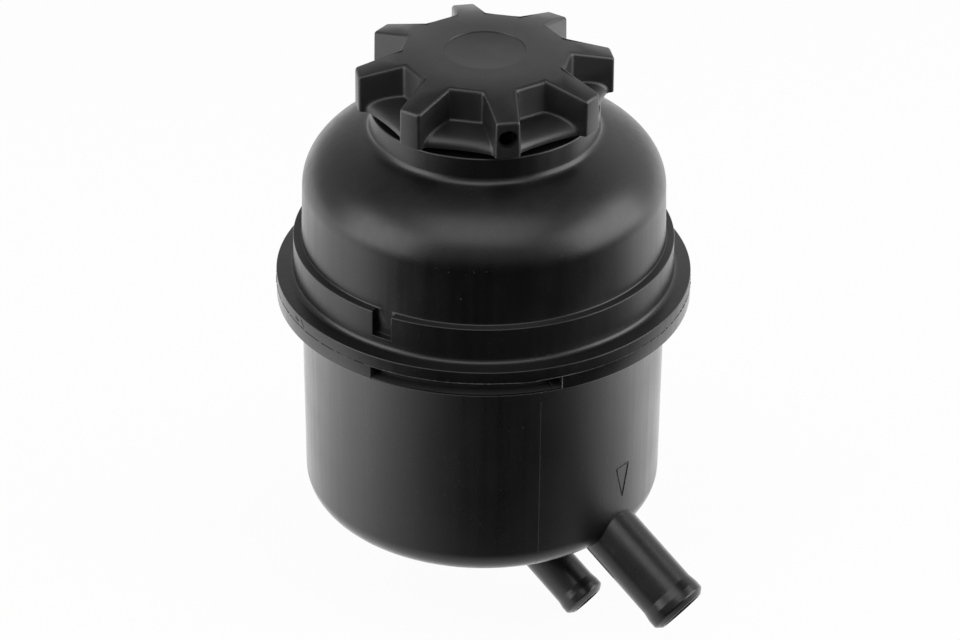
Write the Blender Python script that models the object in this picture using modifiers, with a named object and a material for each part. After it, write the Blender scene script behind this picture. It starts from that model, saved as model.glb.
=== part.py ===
"""Power steering fluid reservoir: a welded two-part tank with a lobed screw cap and dipstick,
and a sprung strainer over the return pipe inside. Metres, +Z up. The origin is on the tank's axis,
in the plane where a bracket ring carries the underside of the weld flange."""

import math

import bmesh
import bpy
from mathutils import Matrix, Vector

# Fits and facets
GAP = 0.0003
SIDES = 48
TUBE_SIDES = 32
CAGE_SIDES = 40
MERGE = 0.00001
OVERCUT = 0.002

# Bowl
WALL = 0.0030
BOWL_RADIUS = 0.0483
BOWL_DRAFT = 0.0004
BOWL_DEPTH = 0.0618
BOWL_CORNER_WIDTH = 0.0087
BOWL_CORNER_HEIGHT = 0.0081

# Weld flange, from the bowl's outside to the rim
RIM_WIDTH = 0.0067
RIM_TOP = 0.00735
WELD_HEIGHT = 0.00407
RIM_CHAMFER = 0.0003
TONGUE_OFFSET = 0.0003
TONGUE_WIDTH = 0.0018
TONGUE_HEIGHT = 0.0014

# Window in the lower flange, and the lip left under it
WINDOW_DEPTH = 0.0033
WINDOW_START = -123.5
WINDOW_END = -68.1
WINDOW_STEPS = 12
LIP_THICKNESS = 0.0007
LIP_SETBACK = 0.0002

# Collar and its notch
COLLAR_OFFSET = 0.0021
COLLAR_HEIGHT = 0.0100
COLLAR_CHAMFER = 0.0003
COLLAR_FILLET = 0.0013
NOTCH_ANGLE = -121.0
NOTCH_WIDTH = 0.0058
NOTCH_FLOOR = 0.00285

# Dome, set back from the collar
DOME_SETBACK = 0.0022
DOME_DRAFT = 0.0004
DOME_WALL_HEIGHT = 0.01485
SHOULDER_WIDTH = 0.0301
SHOULDER_HEIGHT = 0.01825

# Neck: the threaded tube, and the ring that it stands on
NECK_RADIUS = 0.0175
NECK_WALL = 0.0035
NECK_HEIGHT = 0.0103
NECK_CHAMFER = 0.0005
NECK_RING_WIDTH = 0.0126
NECK_RING_RISE = 0.00525
NECK_RING_CHAMFER = 0.0004
NECK_RING_FILLET = 0.0020

# Screw thread of neck and cap
THREAD_LEAD = 0.0050
THREAD_DEPTH = 0.0015
THREAD_ROOT_WIDTH = 0.0018
THREAD_CREST_WIDTH = 0.0010
THREAD_SINK = 0.0004
THREAD_RUN_OUT = 3
THREAD_TIP = 0.4
THREAD_STEPS = 34
THREAD_START = 3.0
NECK_THREAD_TURNS = 1.3
CAP_THREAD_TURNS = 1.25
NECK_THREAD_RISE = 0.0022
THREAD_RADIAL_GAP = 0.0004
THREAD_FLANK_GAP = 0.0002

# Cap
LOBES = 8
CAP_PHASE = -79.7
CAP_LIFT_OFF_RING = 0.0020
CAP_HEIGHT = 0.0136
CAP_ROOF = 0.0030
LOBE_PROJECTION = 0.0031
LOBE_TIP_WIDTH = 0.0061
LOBE_TIP_DRAFT = 0.0004
LOBE_ROUND = 0.0005
RECESS_WALL = 0.0025
RECESS_HALF_WIDTH = 0.0044
RECESS_ROUND = 0.0012
RECESS_FLOOR = 0.0040
RECESS_TOP_MARGIN = 0.0013
SKIRT_OVERHANG = 0.0004
SKIRT_SAG = 0.0007
SKIRT_EDGE = 0.0006
CROWN_FLAT = 0.0140
CROWN_RADIUS = 0.0530
CROWN_ROUND = 0.0004
CROWN_ROUND_SHARE = 0.3
DISC_RADIUS = 0.0106
DISC_DEPTH = 0.00025
CAP_WALL = 0.0020
CORE_WIDTH = 0.0030
CORE_HEIGHT = 0.0080
DISH_RIM = 0.0021
DISH_DEPTH = 0.0018
DISH_RISE = 0.0020
LOBE_HOLE_RADIUS = 0.0025
LOBE_HOLE_HEIGHT = 0.0053
PEG_RADIUS = 0.0080
PEG_WALL = 0.0020
PEG_HEIGHT = 0.0025

# Cap gasket and insert
GASKET_THICKNESS = 0.0017
INSERT_CLEARANCE = 0.0006
INSERT_WALL = 0.0016
INSERT_ROOF = 0.0040
INSERT_HEIGHT = 0.0080
SOCKET_RADIUS = 0.0030
SOCKET_WALL = 0.0020
SOCKET_DEPTH = 0.0060
SOCKET_DROP = 0.0090

# Dipstick
BLADE_WIDTH = 0.0090
BLADE_STEP_WIDTH = 0.0064
BLADE_THICKNESS = 0.0018
BLADE_TIP_HEIGHT = 0.0100
LEVEL_MIN_HEIGHT = 0.0180
LEVEL_MAX_HEIGHT = 0.0300
STEM_LENGTH = 0.0090

# Hose nipples
NIPPLE_HEADING = -36.5
NIPPLE_FALL = 34.2
NIPPLE_ROOT = 0.0120
NIPPLE_WALL = 0.0019
SUCTION_RADIUS = 0.0079
SUCTION_BEAD_RISE = 0.0004
SUCTION_BEAD_LENGTH = 0.0060
SUCTION_NOSE_WALL = 0.0007
SUCTION_SIDE = -0.0022
SUCTION_EXIT_HEIGHT = 0.0005
SUCTION_PROJECTION = 0.0200
RETURN_RADIUS = 0.0059
RETURN_BEAD_RISE = 0.0003
RETURN_BEAD_LENGTH = 0.0050
RETURN_NOSE_WALL = 0.0006
RETURN_REACH = 0.0360
RETURN_DROP = 0.0004
ELBOW_SWELL = 0.0026

# Shape of a nipple's end, in shares of the bead's length and of the nose's slope
BEAD_CREST_SHARE = 0.55
BEAD_EDGE_SHARE = 0.27
NOSE_EDGE_SHARE = 0.08
NOSE_SPREAD_SHARE = 0.75

# Return pipe inside the tank, and the seat round its foot
PIPE_HEIGHT = 0.0118
PIPE_SEAT_MARGIN = 0.0005
PIPE_SEAT_HEIGHT = 0.0033

# Baffle plate
BAFFLE_SEAT = 0.0013
BAFFLE_THICKNESS = 0.0016
BAFFLE_HOLE = 0.0050
BAFFLE_WINDOWS = 6
BAFFLE_RIM = 0.0043
BAFFLE_BAR = 12.0
CUP_WALL = 0.0016
CUP_DEPTH = 0.0026

# Strainer
CAGE_RADIUS = 0.0260
CAGE_WALL = 0.0022
CAGE_FLOOR = 0.0020
CAGE_RING = 0.0022
CAGE_BARS = 10
CAGE_BAR = 6.0
CAGE_ROWS = 2
MESH_THICKNESS = 0.0005
GROMMET_WALL = 0.0040
GROMMET_LIP = 0.0016
GROMMET_LOWER_REACH = 0.0020
TOP_PLATE_THICKNESS = 0.0018
TOP_PLATE_SPIGOT = 0.0035
TOP_PLATE_BOSS_HEIGHT = 0.0030

# Spring
SPRING_LENGTH = 0.0126
SPRING_RADIUS = 0.0095
SPRING_WIRE = 0.0008
SPRING_ACTIVE_TURNS = 4
SPRING_END_TURNS = 0.75
SPRING_POINTS = 12

# Radii that follow from the sizes above
INNER_RADIUS = BOWL_RADIUS - WALL
RIM_RADIUS = BOWL_RADIUS + RIM_WIDTH
TONGUE_RADIUS = BOWL_RADIUS + TONGUE_OFFSET
WINDOW_RADIUS = RIM_RADIUS - WINDOW_DEPTH
LIP_RADIUS = RIM_RADIUS - LIP_SETBACK
COLLAR_RADIUS = BOWL_RADIUS + COLLAR_OFFSET
DOME_BASE_RADIUS = COLLAR_RADIUS - DOME_SETBACK
DOME_TOP_RADIUS = DOME_BASE_RADIUS - DOME_DRAFT
SHOULDER_CENTRE = DOME_TOP_RADIUS - SHOULDER_WIDTH
NECK_BORE = NECK_RADIUS - NECK_WALL
NECK_RING_RADIUS = NECK_RADIUS + NECK_RING_WIDTH
CAP_BORE = NECK_RADIUS + THREAD_DEPTH + THREAD_RADIAL_GAP
RECESS_BACK = CAP_BORE + RECESS_WALL
SKIRT_RADIUS = NECK_RING_RADIUS + SKIRT_OVERHANG
LOBE_REACH = SKIRT_RADIUS + LOBE_PROJECTION
DISH_RADIUS = SKIRT_RADIUS - DISH_RIM
INSERT_RADIUS = NECK_BORE - INSERT_CLEARANCE
SUCTION_BORE = SUCTION_RADIUS - NIPPLE_WALL
RETURN_BORE = RETURN_RADIUS - NIPPLE_WALL
ELBOW_RADIUS = RETURN_RADIUS + ELBOW_SWELL
RISER_BORE = RETURN_BORE + GAP
PIPE_RADIUS = RETURN_BORE + WALL
GROMMET_NECK = PIPE_RADIUS + GROMMET_WALL
GROMMET_UPPER_RADIUS = GROMMET_NECK + GROMMET_LIP
GROMMET_LOWER_RADIUS = GROMMET_NECK + GROMMET_LOWER_REACH
PIPE_SEAT_RADIUS = GROMMET_LOWER_RADIUS + PIPE_SEAT_MARGIN
CUP_BORE = SPRING_RADIUS + SPRING_WIRE + GAP
BAFFLE_RADIUS = INNER_RADIUS + BAFFLE_SEAT
BAFFLE_WINDOW_INNER = CUP_BORE + CUP_WALL + BAFFLE_RIM
BAFFLE_WINDOW_OUTER = INNER_RADIUS - BAFFLE_RIM

# Heights that follow from the sizes above
WELD_LOW = WELD_HEIGHT - GAP / 2
WELD_HIGH = WELD_HEIGHT + GAP / 2
BOWL_FLOOR = -BOWL_DEPTH + WALL
COLLAR_TOP = RIM_TOP + COLLAR_HEIGHT
DOME_WALL_TOP = COLLAR_TOP + DOME_WALL_HEIGHT
NECK_RING_TOP = DOME_WALL_TOP + SHOULDER_HEIGHT + NECK_RING_RISE
NECK_TOP = NECK_RING_TOP + NECK_HEIGHT
CAP_BOTTOM = NECK_RING_TOP + CAP_LIFT_OFF_RING
CAP_TOP = CAP_BOTTOM + CAP_HEIGHT
CAP_CEILING = CAP_TOP - CAP_ROOF
GASKET_BOTTOM = NECK_TOP + GAP
GASKET_TOP = GASKET_BOTTOM + GASKET_THICKNESS
INSERT_TOP = CAP_CEILING - GAP
SOCKET_BOTTOM = INSERT_TOP - SOCKET_DROP
STEM_TOP = SOCKET_BOTTOM + SOCKET_DEPTH - GAP
BAFFLE_TOP = WELD_HIGH - GAP
BAFFLE_BOTTOM = BAFFLE_TOP - BAFFLE_THICKNESS
PIPE_TOP = BOWL_FLOOR + PIPE_HEIGHT
PIPE_SEAT = BOWL_FLOOR + PIPE_SEAT_HEIGHT
GROMMET_BOTTOM = PIPE_SEAT + GAP
CAGE_BOTTOM = GROMMET_BOTTOM + GROMMET_LIP + GAP
SPRING_TOP = BAFFLE_BOTTOM - GAP
SPRING_BOTTOM = SPRING_TOP - SPRING_LENGTH
TOP_PLATE_TOP = SPRING_BOTTOM - GAP
TOP_PLATE_BOTTOM = TOP_PLATE_TOP - TOP_PLATE_THICKNESS
CAGE_TOP = TOP_PLATE_BOTTOM - GAP


def arc(centre, radii, start, end, steps):
    """Points of an elliptic arc in the plane of radius and height, angles in degrees from +radius."""
    points = []
    for step in range(steps + 1):
        angle = math.radians(start + (end - start) * step / steps)
        points.append((centre[0] + radii[0] * math.cos(angle), centre[1] + radii[1] * math.sin(angle)))
    return points


def polar(radius, degrees, height=0.0):
    angle = math.radians(degrees)
    return Vector((radius * math.cos(angle), radius * math.sin(angle), height))


def add_object(name, mesh, collection, matrix=None):
    obj = bpy.data.objects.new(name, mesh)
    if matrix is not None:
        obj.matrix_world = matrix
    collection.objects.link(obj)
    if collection.name == "cutters":
        obj.hide_render = True
        obj.display_type = "WIRE"
    return obj


def turned(name, outline, collection, sides=SIDES, matrix=None):
    """A profile of (radius, height) turned about Z. It runs down its outer side, and closes on
    itself unless it starts and ends on the axis."""
    bm = bmesh.new()
    verts = [bm.verts.new((radius, 0.0, height)) for radius, height in outline]
    for first, second in zip(verts, verts[1:]):
        bm.edges.new((first, second))
    if outline[0][0] > MERGE or outline[-1][0] > MERGE:
        bm.edges.new((verts[-1], verts[0]))
    mesh = bpy.data.meshes.new(name)
    bm.to_mesh(mesh)
    bm.free()
    obj = add_object(name, mesh, collection, matrix)
    screw = obj.modifiers.new("Turn", "SCREW")
    screw.axis = "Z"
    screw.angle = math.tau
    screw.steps = sides
    screw.render_steps = sides
    screw.use_merge_vertices = True
    screw.merge_threshold = MERGE
    return obj


def add_sweep(bm, section, start, end, steps, lead=0.0, run_out=0):
    """Carries a closed section of (radius, height) round Z, rising by the lead in each turn. Over
    the run-out steps at both ends the section grows out of its first point's radius."""
    rings = []
    root = section[0][0]
    for step in range(steps + 1):
        angle = start + (end - start) * step / steps
        rise = lead * (angle - start) / 360
        nearest_end = min(step, steps - step)
        grown = min(1.0, (nearest_end + THREAD_TIP) / run_out) if run_out else 1.0
        ring = [bm.verts.new(polar(root + (radius - root) * grown, angle, height + rise))
                for radius, height in section]
        rings.append(ring)
    count = len(section)
    for lower, upper in zip(rings, rings[1:]):
        for index in range(count):
            after = (index + 1) % count
            bm.faces.new((lower[index], lower[after], upper[after], upper[index]))
    bm.faces.new(rings[0])
    bm.faces.new(rings[-1])


def mesh_object(name, bm, collection, matrix=None):
    bmesh.ops.recalc_face_normals(bm, faces=bm.faces)
    mesh = bpy.data.meshes.new(name)
    bm.to_mesh(mesh)
    bm.free()
    return add_object(name, mesh, collection, matrix)


def box_section(inner, outer, low, high):
    return [(inner, low), (outer, low), (outer, high), (inner, high)]


def cylinder(name, radius, start, end, collection, sides=TUBE_SIDES):
    """A plain round bar from one point to another."""
    bm = bmesh.new()
    span = end - start
    bmesh.ops.create_cone(bm, cap_ends=True, segments=sides, radius1=radius, radius2=radius,
                          depth=span.length)
    turn = span.to_track_quat("Z", "X").to_matrix().to_4x4()
    bmesh.ops.transform(bm, matrix=Matrix.Translation((start + end) / 2) @ turn, verts=bm.verts)
    return mesh_object(name, bm, collection)


def boolean(target, other, operation):
    modifier = target.modifiers.new(other.name, "BOOLEAN")
    modifier.operation = operation
    modifier.object = other
    modifier.solver = "EXACT"


def split_holed_faces(target):
    """Splits the flat faces that a bore has gone through, so that the next cut meets plain ones."""
    target.modifiers.new("Split", "TRIANGULATE")


def finish(obj, material, sharp=32.0):
    """Keeps the shape that the modifiers give as the object's own mesh, shaded smooth between
    its sharp edges."""
    bpy.context.view_layer.update()
    graph = bpy.context.evaluated_depsgraph_get()
    mesh = bpy.data.meshes.new_from_object(obj.evaluated_get(graph))
    mesh.name = obj.name
    bm = bmesh.new()
    bm.from_mesh(mesh)
    bmesh.ops.remove_doubles(bm, verts=bm.verts, dist=MERGE)
    bmesh.ops.dissolve_degenerate(bm, edges=bm.edges, dist=MERGE)
    bm.to_mesh(mesh)
    bm.free()
    obj.modifiers.clear()
    obj.data = mesh
    mesh.materials.clear()
    mesh.materials.append(material)
    mesh.shade_smooth()
    mesh.set_sharp_from_angle(angle=math.radians(sharp))
    return obj


def material(name, colour, roughness, metallic=0.0):
    result = bpy.data.materials.new(name)
    result.use_nodes = True
    shader = result.node_tree.nodes["Principled BSDF"]
    shader.inputs["Base Color"].default_value = (*colour, 1.0)
    shader.inputs["Roughness"].default_value = roughness
    shader.inputs["Metallic"].default_value = metallic
    return result


# Tank

def shoulder_height(radius, inset=0.0):
    """Height of the dome's elliptic shoulder at a radius, or of the surface inset below it."""
    share = (radius - SHOULDER_CENTRE) / (SHOULDER_WIDTH - inset)
    return DOME_WALL_TOP + (SHOULDER_HEIGHT - inset) * math.sqrt(1 - share * share)


def shoulder_arc(inner, inset, steps, outwards):
    """The shoulder's arc between its springing and the given radius."""
    reach = (inner - SHOULDER_CENTRE) / (SHOULDER_WIDTH - inset)
    top = math.degrees(math.acos(reach))
    angles = (top, 0.0) if outwards else (0.0, top)
    return arc((SHOULDER_CENTRE, DOME_WALL_TOP), (SHOULDER_WIDTH - inset, SHOULDER_HEIGHT - inset),
               angles[0], angles[1], steps)


def upper_shell_outline():
    fillet_radius = NECK_RING_RADIUS + NECK_RING_FILLET
    fillet_foot = shoulder_height(fillet_radius)
    groove_inner = TONGUE_RADIUS - GAP
    groove_outer = TONGUE_RADIUS + TONGUE_WIDTH + GAP
    groove_top = WELD_LOW + TONGUE_HEIGHT + GAP
    ring_bore = NECK_RING_RADIUS - WALL
    outline = [(NECK_RADIUS - NECK_CHAMFER, NECK_TOP), (NECK_RADIUS, NECK_TOP - NECK_CHAMFER),
               (NECK_RADIUS, NECK_RING_TOP), (NECK_RING_RADIUS - NECK_RING_CHAMFER, NECK_RING_TOP),
               (NECK_RING_RADIUS, NECK_RING_TOP - NECK_RING_CHAMFER)]
    outline += arc((fillet_radius, fillet_foot + NECK_RING_FILLET),
                   (NECK_RING_FILLET, NECK_RING_FILLET), 180, 262, 3)
    outline += shoulder_arc(fillet_radius + NECK_RING_FILLET / 2, 0.0, 9, outwards=True)
    outline += [(DOME_BASE_RADIUS, COLLAR_TOP), (COLLAR_RADIUS - COLLAR_CHAMFER, COLLAR_TOP),
                (COLLAR_RADIUS, COLLAR_TOP - COLLAR_CHAMFER)]
    outline += arc((COLLAR_RADIUS + COLLAR_FILLET, RIM_TOP + COLLAR_FILLET),
                   (COLLAR_FILLET, COLLAR_FILLET), 180, 270, 2)
    outline += [(RIM_RADIUS - RIM_CHAMFER, RIM_TOP), (RIM_RADIUS, RIM_TOP - RIM_CHAMFER),
                (RIM_RADIUS, WELD_HIGH), (groove_outer, WELD_HIGH), (groove_outer, groove_top),
                (groove_inner, groove_top), (groove_inner, WELD_HIGH), (INNER_RADIUS, WELD_HIGH)]
    outline += shoulder_arc(ring_bore, WALL, 6, outwards=False)
    outline += [(ring_bore, NECK_RING_TOP - WALL), (NECK_BORE, NECK_RING_TOP - WALL),
                (NECK_BORE, NECK_TOP - NECK_CHAMFER), (NECK_BORE + NECK_CHAMFER, NECK_TOP)]
    return outline


def thread_section(root_radius, depth, sink):
    """The ridge's trapezoid, sunk a little into the wall that carries it."""
    half_crest = THREAD_CREST_WIDTH / 2
    half_foot = half_crest + (THREAD_ROOT_WIDTH / 2 - half_crest) * (depth + sink) / depth
    return [(root_radius - sink, -half_foot), (root_radius + depth, -half_crest),
            (root_radius + depth, half_crest), (root_radius - sink, half_foot)]


def thread(name, section, start, height, turns, cutters):
    bm = bmesh.new()
    lifted = [(radius, low + height) for radius, low in section]
    add_sweep(bm, lifted, start, start + 360 * turns, round(THREAD_STEPS * turns), THREAD_LEAD,
              THREAD_RUN_OUT)
    return mesh_object(name, bm, cutters)


def make_upper_shell(parts, cutters, finish_material):
    shell = turned("upper_shell", upper_shell_outline(), parts)
    section = thread_section(NECK_RADIUS, THREAD_DEPTH, THREAD_SINK)
    ridge = thread("neck_thread", section, THREAD_START, NECK_RING_TOP + NECK_THREAD_RISE,
                   NECK_THREAD_TURNS, cutters)
    boolean(shell, ridge, "UNION")

    depth = COLLAR_RADIUS - DOME_BASE_RADIUS + OVERCUT
    floor = RIM_TOP + NOTCH_FLOOR
    height = COLLAR_TOP + OVERCUT - floor
    bm = bmesh.new()
    bmesh.ops.create_cube(bm, size=1.0)
    place = (Matrix.Rotation(math.radians(NOTCH_ANGLE), 4, "Z")
             @ Matrix.Translation((DOME_BASE_RADIUS + depth / 2, 0.0, floor + height / 2))
             @ Matrix.Diagonal((depth, NOTCH_WIDTH, height, 1.0)))
    bmesh.ops.transform(bm, matrix=place, verts=bm.verts)
    boolean(shell, mesh_object("collar_notch", bm, cutters), "DIFFERENCE")
    return finish(shell, finish_material)


def bowl_outline():
    low_radius = BOWL_RADIUS - BOWL_DRAFT
    corner = (low_radius - BOWL_CORNER_WIDTH, -BOWL_DEPTH + BOWL_CORNER_HEIGHT)
    tongue_outer = TONGUE_RADIUS + TONGUE_WIDTH
    outline = [(0.0, WELD_LOW), (TONGUE_RADIUS, WELD_LOW), (TONGUE_RADIUS, WELD_LOW + TONGUE_HEIGHT),
               (tongue_outer, WELD_LOW + TONGUE_HEIGHT), (tongue_outer, WELD_LOW),
               (RIM_RADIUS, WELD_LOW), (RIM_RADIUS, 0.0), (BOWL_RADIUS, 0.0)]
    outline += arc(corner, (BOWL_CORNER_WIDTH, BOWL_CORNER_HEIGHT), 0, -90, 6)
    return outline + [(0.0, -BOWL_DEPTH)]


def cavity_outline():
    """The bowl's inside, which leaves the return pipe and its seat standing."""
    low_radius = INNER_RADIUS - BOWL_DRAFT
    corner_width = BOWL_CORNER_WIDTH - WALL
    corner_height = BOWL_CORNER_HEIGHT - WALL
    corner = (low_radius - corner_width, BOWL_FLOOR + corner_height)
    ledge = BAFFLE_BOTTOM - GAP
    outline = [(0.0, WELD_LOW + OVERCUT), (BAFFLE_RADIUS + GAP, WELD_LOW + OVERCUT),
               (BAFFLE_RADIUS + GAP, ledge), (INNER_RADIUS, ledge)]
    outline += arc(corner, (corner_width, corner_height), 0, -90, 4)
    outline += [(PIPE_SEAT_RADIUS, BOWL_FLOOR), (PIPE_SEAT_RADIUS, PIPE_SEAT),
                (PIPE_RADIUS, PIPE_SEAT), (PIPE_RADIUS, PIPE_TOP), (0.0, PIPE_TOP)]
    return outline


def nipple_direction():
    fall = math.radians(NIPPLE_FALL)
    return polar(math.cos(fall), NIPPLE_HEADING, -math.sin(fall))


def nipple_end(side, level_radius, level, reach):
    """End of a nipple's axis, which is at the given level where it passes level_radius from the
    tank's axis, and runs beside the heading by the given distance."""
    drop = (reach - level_radius) * math.tan(math.radians(NIPPLE_FALL))
    return polar(reach, NIPPLE_HEADING, level - drop) + polar(side, NIPPLE_HEADING + 90)


def nipple_outline(radius, bead, bead_length, nose, length):
    """Half section of a nipple standing on its end, with the hose bead low down."""
    shoulder = nose + (bead - nose) * NOSE_SPREAD_SHARE
    return [(0.0, length), (radius, length), (radius, bead_length),
            (bead, bead_length * BEAD_CREST_SHARE), (bead, bead_length * BEAD_EDGE_SHARE),
            (shoulder, bead_length * NOSE_EDGE_SHARE), (nose, 0.0), (0.0, 0.0)]


def add_nipple(bowl, name, radius, bead_rise, bead_length, nose_wall, end, root, cutters):
    back = -nipple_direction()
    place = Matrix.Translation(end) @ back.to_track_quat("Z", "X").to_matrix().to_4x4()
    outline = nipple_outline(radius, radius + bead_rise, bead_length, radius - NIPPLE_WALL + nose_wall,
                             (root - end).length)
    boolean(bowl, turned(name, outline, cutters, TUBE_SIDES, place), "UNION")


def make_lower_bowl(parts, cutters, finish_material):
    bowl = turned("lower_bowl", bowl_outline(), parts)
    direction = nipple_direction()

    suction_end = nipple_end(SUCTION_SIDE, BOWL_RADIUS, -BOWL_DEPTH + SUCTION_EXIT_HEIGHT,
                             BOWL_RADIUS + SUCTION_PROJECTION)
    suction_length = SUCTION_PROJECTION / math.cos(math.radians(NIPPLE_FALL)) + NIPPLE_ROOT
    suction_root = suction_end - direction * suction_length
    add_nipple(bowl, "suction_nipple", SUCTION_RADIUS, SUCTION_BEAD_RISE, SUCTION_BEAD_LENGTH,
               SUCTION_NOSE_WALL, suction_end, suction_root, cutters)

    elbow = Vector((0.0, 0.0, -BOWL_DEPTH - RETURN_DROP))
    return_end = nipple_end(0.0, 0.0, elbow.z, RETURN_REACH)
    add_nipple(bowl, "return_nipple", RETURN_RADIUS, RETURN_BEAD_RISE, RETURN_BEAD_LENGTH,
               RETURN_NOSE_WALL, return_end, elbow, cutters)
    boss = arc((0.0, elbow.z), (ELBOW_RADIUS, ELBOW_RADIUS), 30, -90, 8)
    boss[-1] = (0.0, elbow.z - ELBOW_RADIUS)
    off_facets = Matrix.Rotation(math.radians(90 / TUBE_SIDES), 4, "Z")
    boss = [(0.0, boss[0][1])] + boss
    boolean(bowl, turned("return_elbow", boss, cutters, TUBE_SIDES, off_facets), "UNION")

    boolean(bowl, turned("tank_cavity", cavity_outline(), cutters), "DIFFERENCE")
    past_end = direction * OVERCUT
    suction_mouth = suction_root - direction * WALL
    boolean(bowl, cylinder("suction_bore", SUCTION_BORE, suction_mouth, suction_end + past_end, cutters),
            "DIFFERENCE")
    split_holed_faces(bowl)
    boolean(bowl, cylinder("return_bore", RETURN_BORE, elbow, return_end + past_end, cutters),
            "DIFFERENCE")
    split_holed_faces(bowl)
    riser = [(0.0, PIPE_TOP + OVERCUT), (RISER_BORE, PIPE_TOP + OVERCUT)]
    riser += arc((0.0, elbow.z), (RISER_BORE, RISER_BORE), 0, -90, 5)
    riser[-1] = (0.0, elbow.z - RISER_BORE)
    boolean(bowl, turned("return_riser", riser, cutters, TUBE_SIDES, off_facets), "DIFFERENCE")

    past_rim = RIM_RADIUS + OVERCUT
    window = [(WINDOW_RADIUS, LIP_THICKNESS), (LIP_RADIUS, LIP_THICKNESS), (LIP_RADIUS, -OVERCUT),
              (past_rim, -OVERCUT), (past_rim, WELD_LOW + OVERCUT), (WINDOW_RADIUS, WELD_LOW + OVERCUT)]
    bm = bmesh.new()
    add_sweep(bm, window, WINDOW_START, WINDOW_END, WINDOW_STEPS)
    boolean(bowl, mesh_object("flange_window", bm, cutters), "DIFFERENCE")
    return finish(bowl, finish_material)


# Cap

def crown(radius):
    """Height of the cap's top: flat in the middle, then falling along a large radius."""
    beyond = max(0.0, radius - CROWN_FLAT)
    return CAP_TOP - beyond * beyond / (2 * CROWN_RADIUS)


def rounded(before, corner, after, radius, steps):
    """Arc that rounds the corner between two straight edges."""
    toward = (before - corner).normalized()
    onward = (after - corner).normalized()
    half = toward.angle(onward) / 2
    centre = corner + (toward + onward).normalized() * (radius / math.sin(half))
    first = corner + toward * (radius / math.tan(half)) - centre
    last = corner + onward * (radius / math.tan(half)) - centre
    sweep = first.angle(last)
    turn = 1 if first.cross(last).z > 0 else -1
    return [centre + Matrix.Rotation(turn * sweep * step / steps, 3, "Z") @ first
            for step in range(steps + 1)]


def cap_outline(recess, sag, inset=0.0, draft=0.0):
    """Outline of the lobed cap, whose recesses between the lobes reach in to the given distance.
    The recess edge bows in by sag, the whole is inset, and the lobe tips are wider by the draft."""
    pitch = 360 / LOBES
    half_pitch = math.radians(pitch / 2)
    tip = LOBE_REACH - inset
    half_tip = (LOBE_TIP_WIDTH + draft) / 2 - inset
    tip_along = tip * math.cos(half_pitch) + half_tip * math.sin(half_pitch)
    tip_across = tip * math.sin(half_pitch) - half_tip * math.cos(half_pitch)
    slope = (tip_across - RECESS_HALF_WIDTH - inset) / (tip_along - RECESS_BACK + inset)
    edge = recess - inset
    half_edge = RECESS_HALF_WIDTH + inset + (edge - RECESS_BACK + inset) * slope
    points = []
    for lobe in range(LOBES):
        middle = CAP_PHASE + pitch * (lobe + 0.5)
        turn = Matrix.Rotation(math.radians(middle), 3, "Z")
        left_tip = Vector((tip_along, -tip_across, 0.0))
        left = Vector((edge, -half_edge, 0.0))
        right = Vector((edge, half_edge, 0.0))
        right_tip = Vector((tip_along, tip_across, 0.0))
        back = Matrix.Rotation(-math.radians(pitch), 3, "Z") @ right_tip
        ahead = Matrix.Rotation(math.radians(pitch), 3, "Z") @ left_tip
        local = rounded(back, left_tip, left, LOBE_ROUND, 1)
        local += rounded(left_tip, left, right, RECESS_ROUND, 2)
        local.append(Vector((edge - sag, 0.0, 0.0)))
        local += rounded(left, right, right_tip, RECESS_ROUND, 2)
        local += rounded(right, right_tip, ahead, LOBE_ROUND, 1)
        points += [turn @ point for point in local]
    return points


def cap_sections():
    """Outlines of the cap from its lower edge to its top edge, each a loop of points in space."""
    floor = CAP_BOTTOM + RECESS_FLOOR
    flare_foot = CAP_BOTTOM + SKIRT_EDGE
    side_height = crown(LOBE_REACH) - CAP_BOTTOM
    levels = [(SKIRT_RADIUS, CAP_BOTTOM)]
    levels += arc((RECESS_BACK, flare_foot), (SKIRT_RADIUS - RECESS_BACK, floor - flare_foot), 0, 82, 5)
    levels += [(RECESS_BACK, floor + RECESS_ROUND / 3)]
    sections = []
    for recess, height in levels:
        sag = SKIRT_SAG * (recess - RECESS_BACK) / (SKIRT_RADIUS - RECESS_BACK)
        draft = LOBE_TIP_DRAFT * (1 - (height - CAP_BOTTOM) / side_height)
        sections.append([Vector((p.x, p.y, height)) for p in cap_outline(recess, sag, 0.0, draft)])
    partly = CROWN_ROUND * CROWN_ROUND_SHARE
    for drop, inset in ((CROWN_ROUND, 0.0), (partly, partly), (0.0, CROWN_ROUND)):
        outline = cap_outline(RECESS_BACK, 0.0, inset)
        sections.append([Vector((p.x, p.y, crown(p.length) - drop)) for p in outline])
    return sections


def cap_top_loops(edge):
    """Loops that carry the top's crown inwards from its edge to the disc in the middle."""
    inner = RECESS_BACK - RECESS_TOP_MARGIN
    loops = []
    for share in (0.5, 1.0):
        loop = []
        for point in edge:
            radius = Vector((point.x, point.y)).length
            target = radius + (inner - radius) * share
            loop.append(Vector((point.x, point.y, 0.0)) * (target / radius)
                        + Vector((0.0, 0.0, crown(target))))
        loops.append(loop)
    for radius, drop in ((CROWN_FLAT, 0.0), (DISC_RADIUS + DISC_DEPTH, 0.0), (DISC_RADIUS, DISC_DEPTH)):
        scale = [radius / Vector((p.x, p.y)).length for p in edge]
        loops.append([Vector((p.x * k, p.y * k, CAP_TOP - drop)) for p, k in zip(edge, scale)])
    return loops


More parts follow.
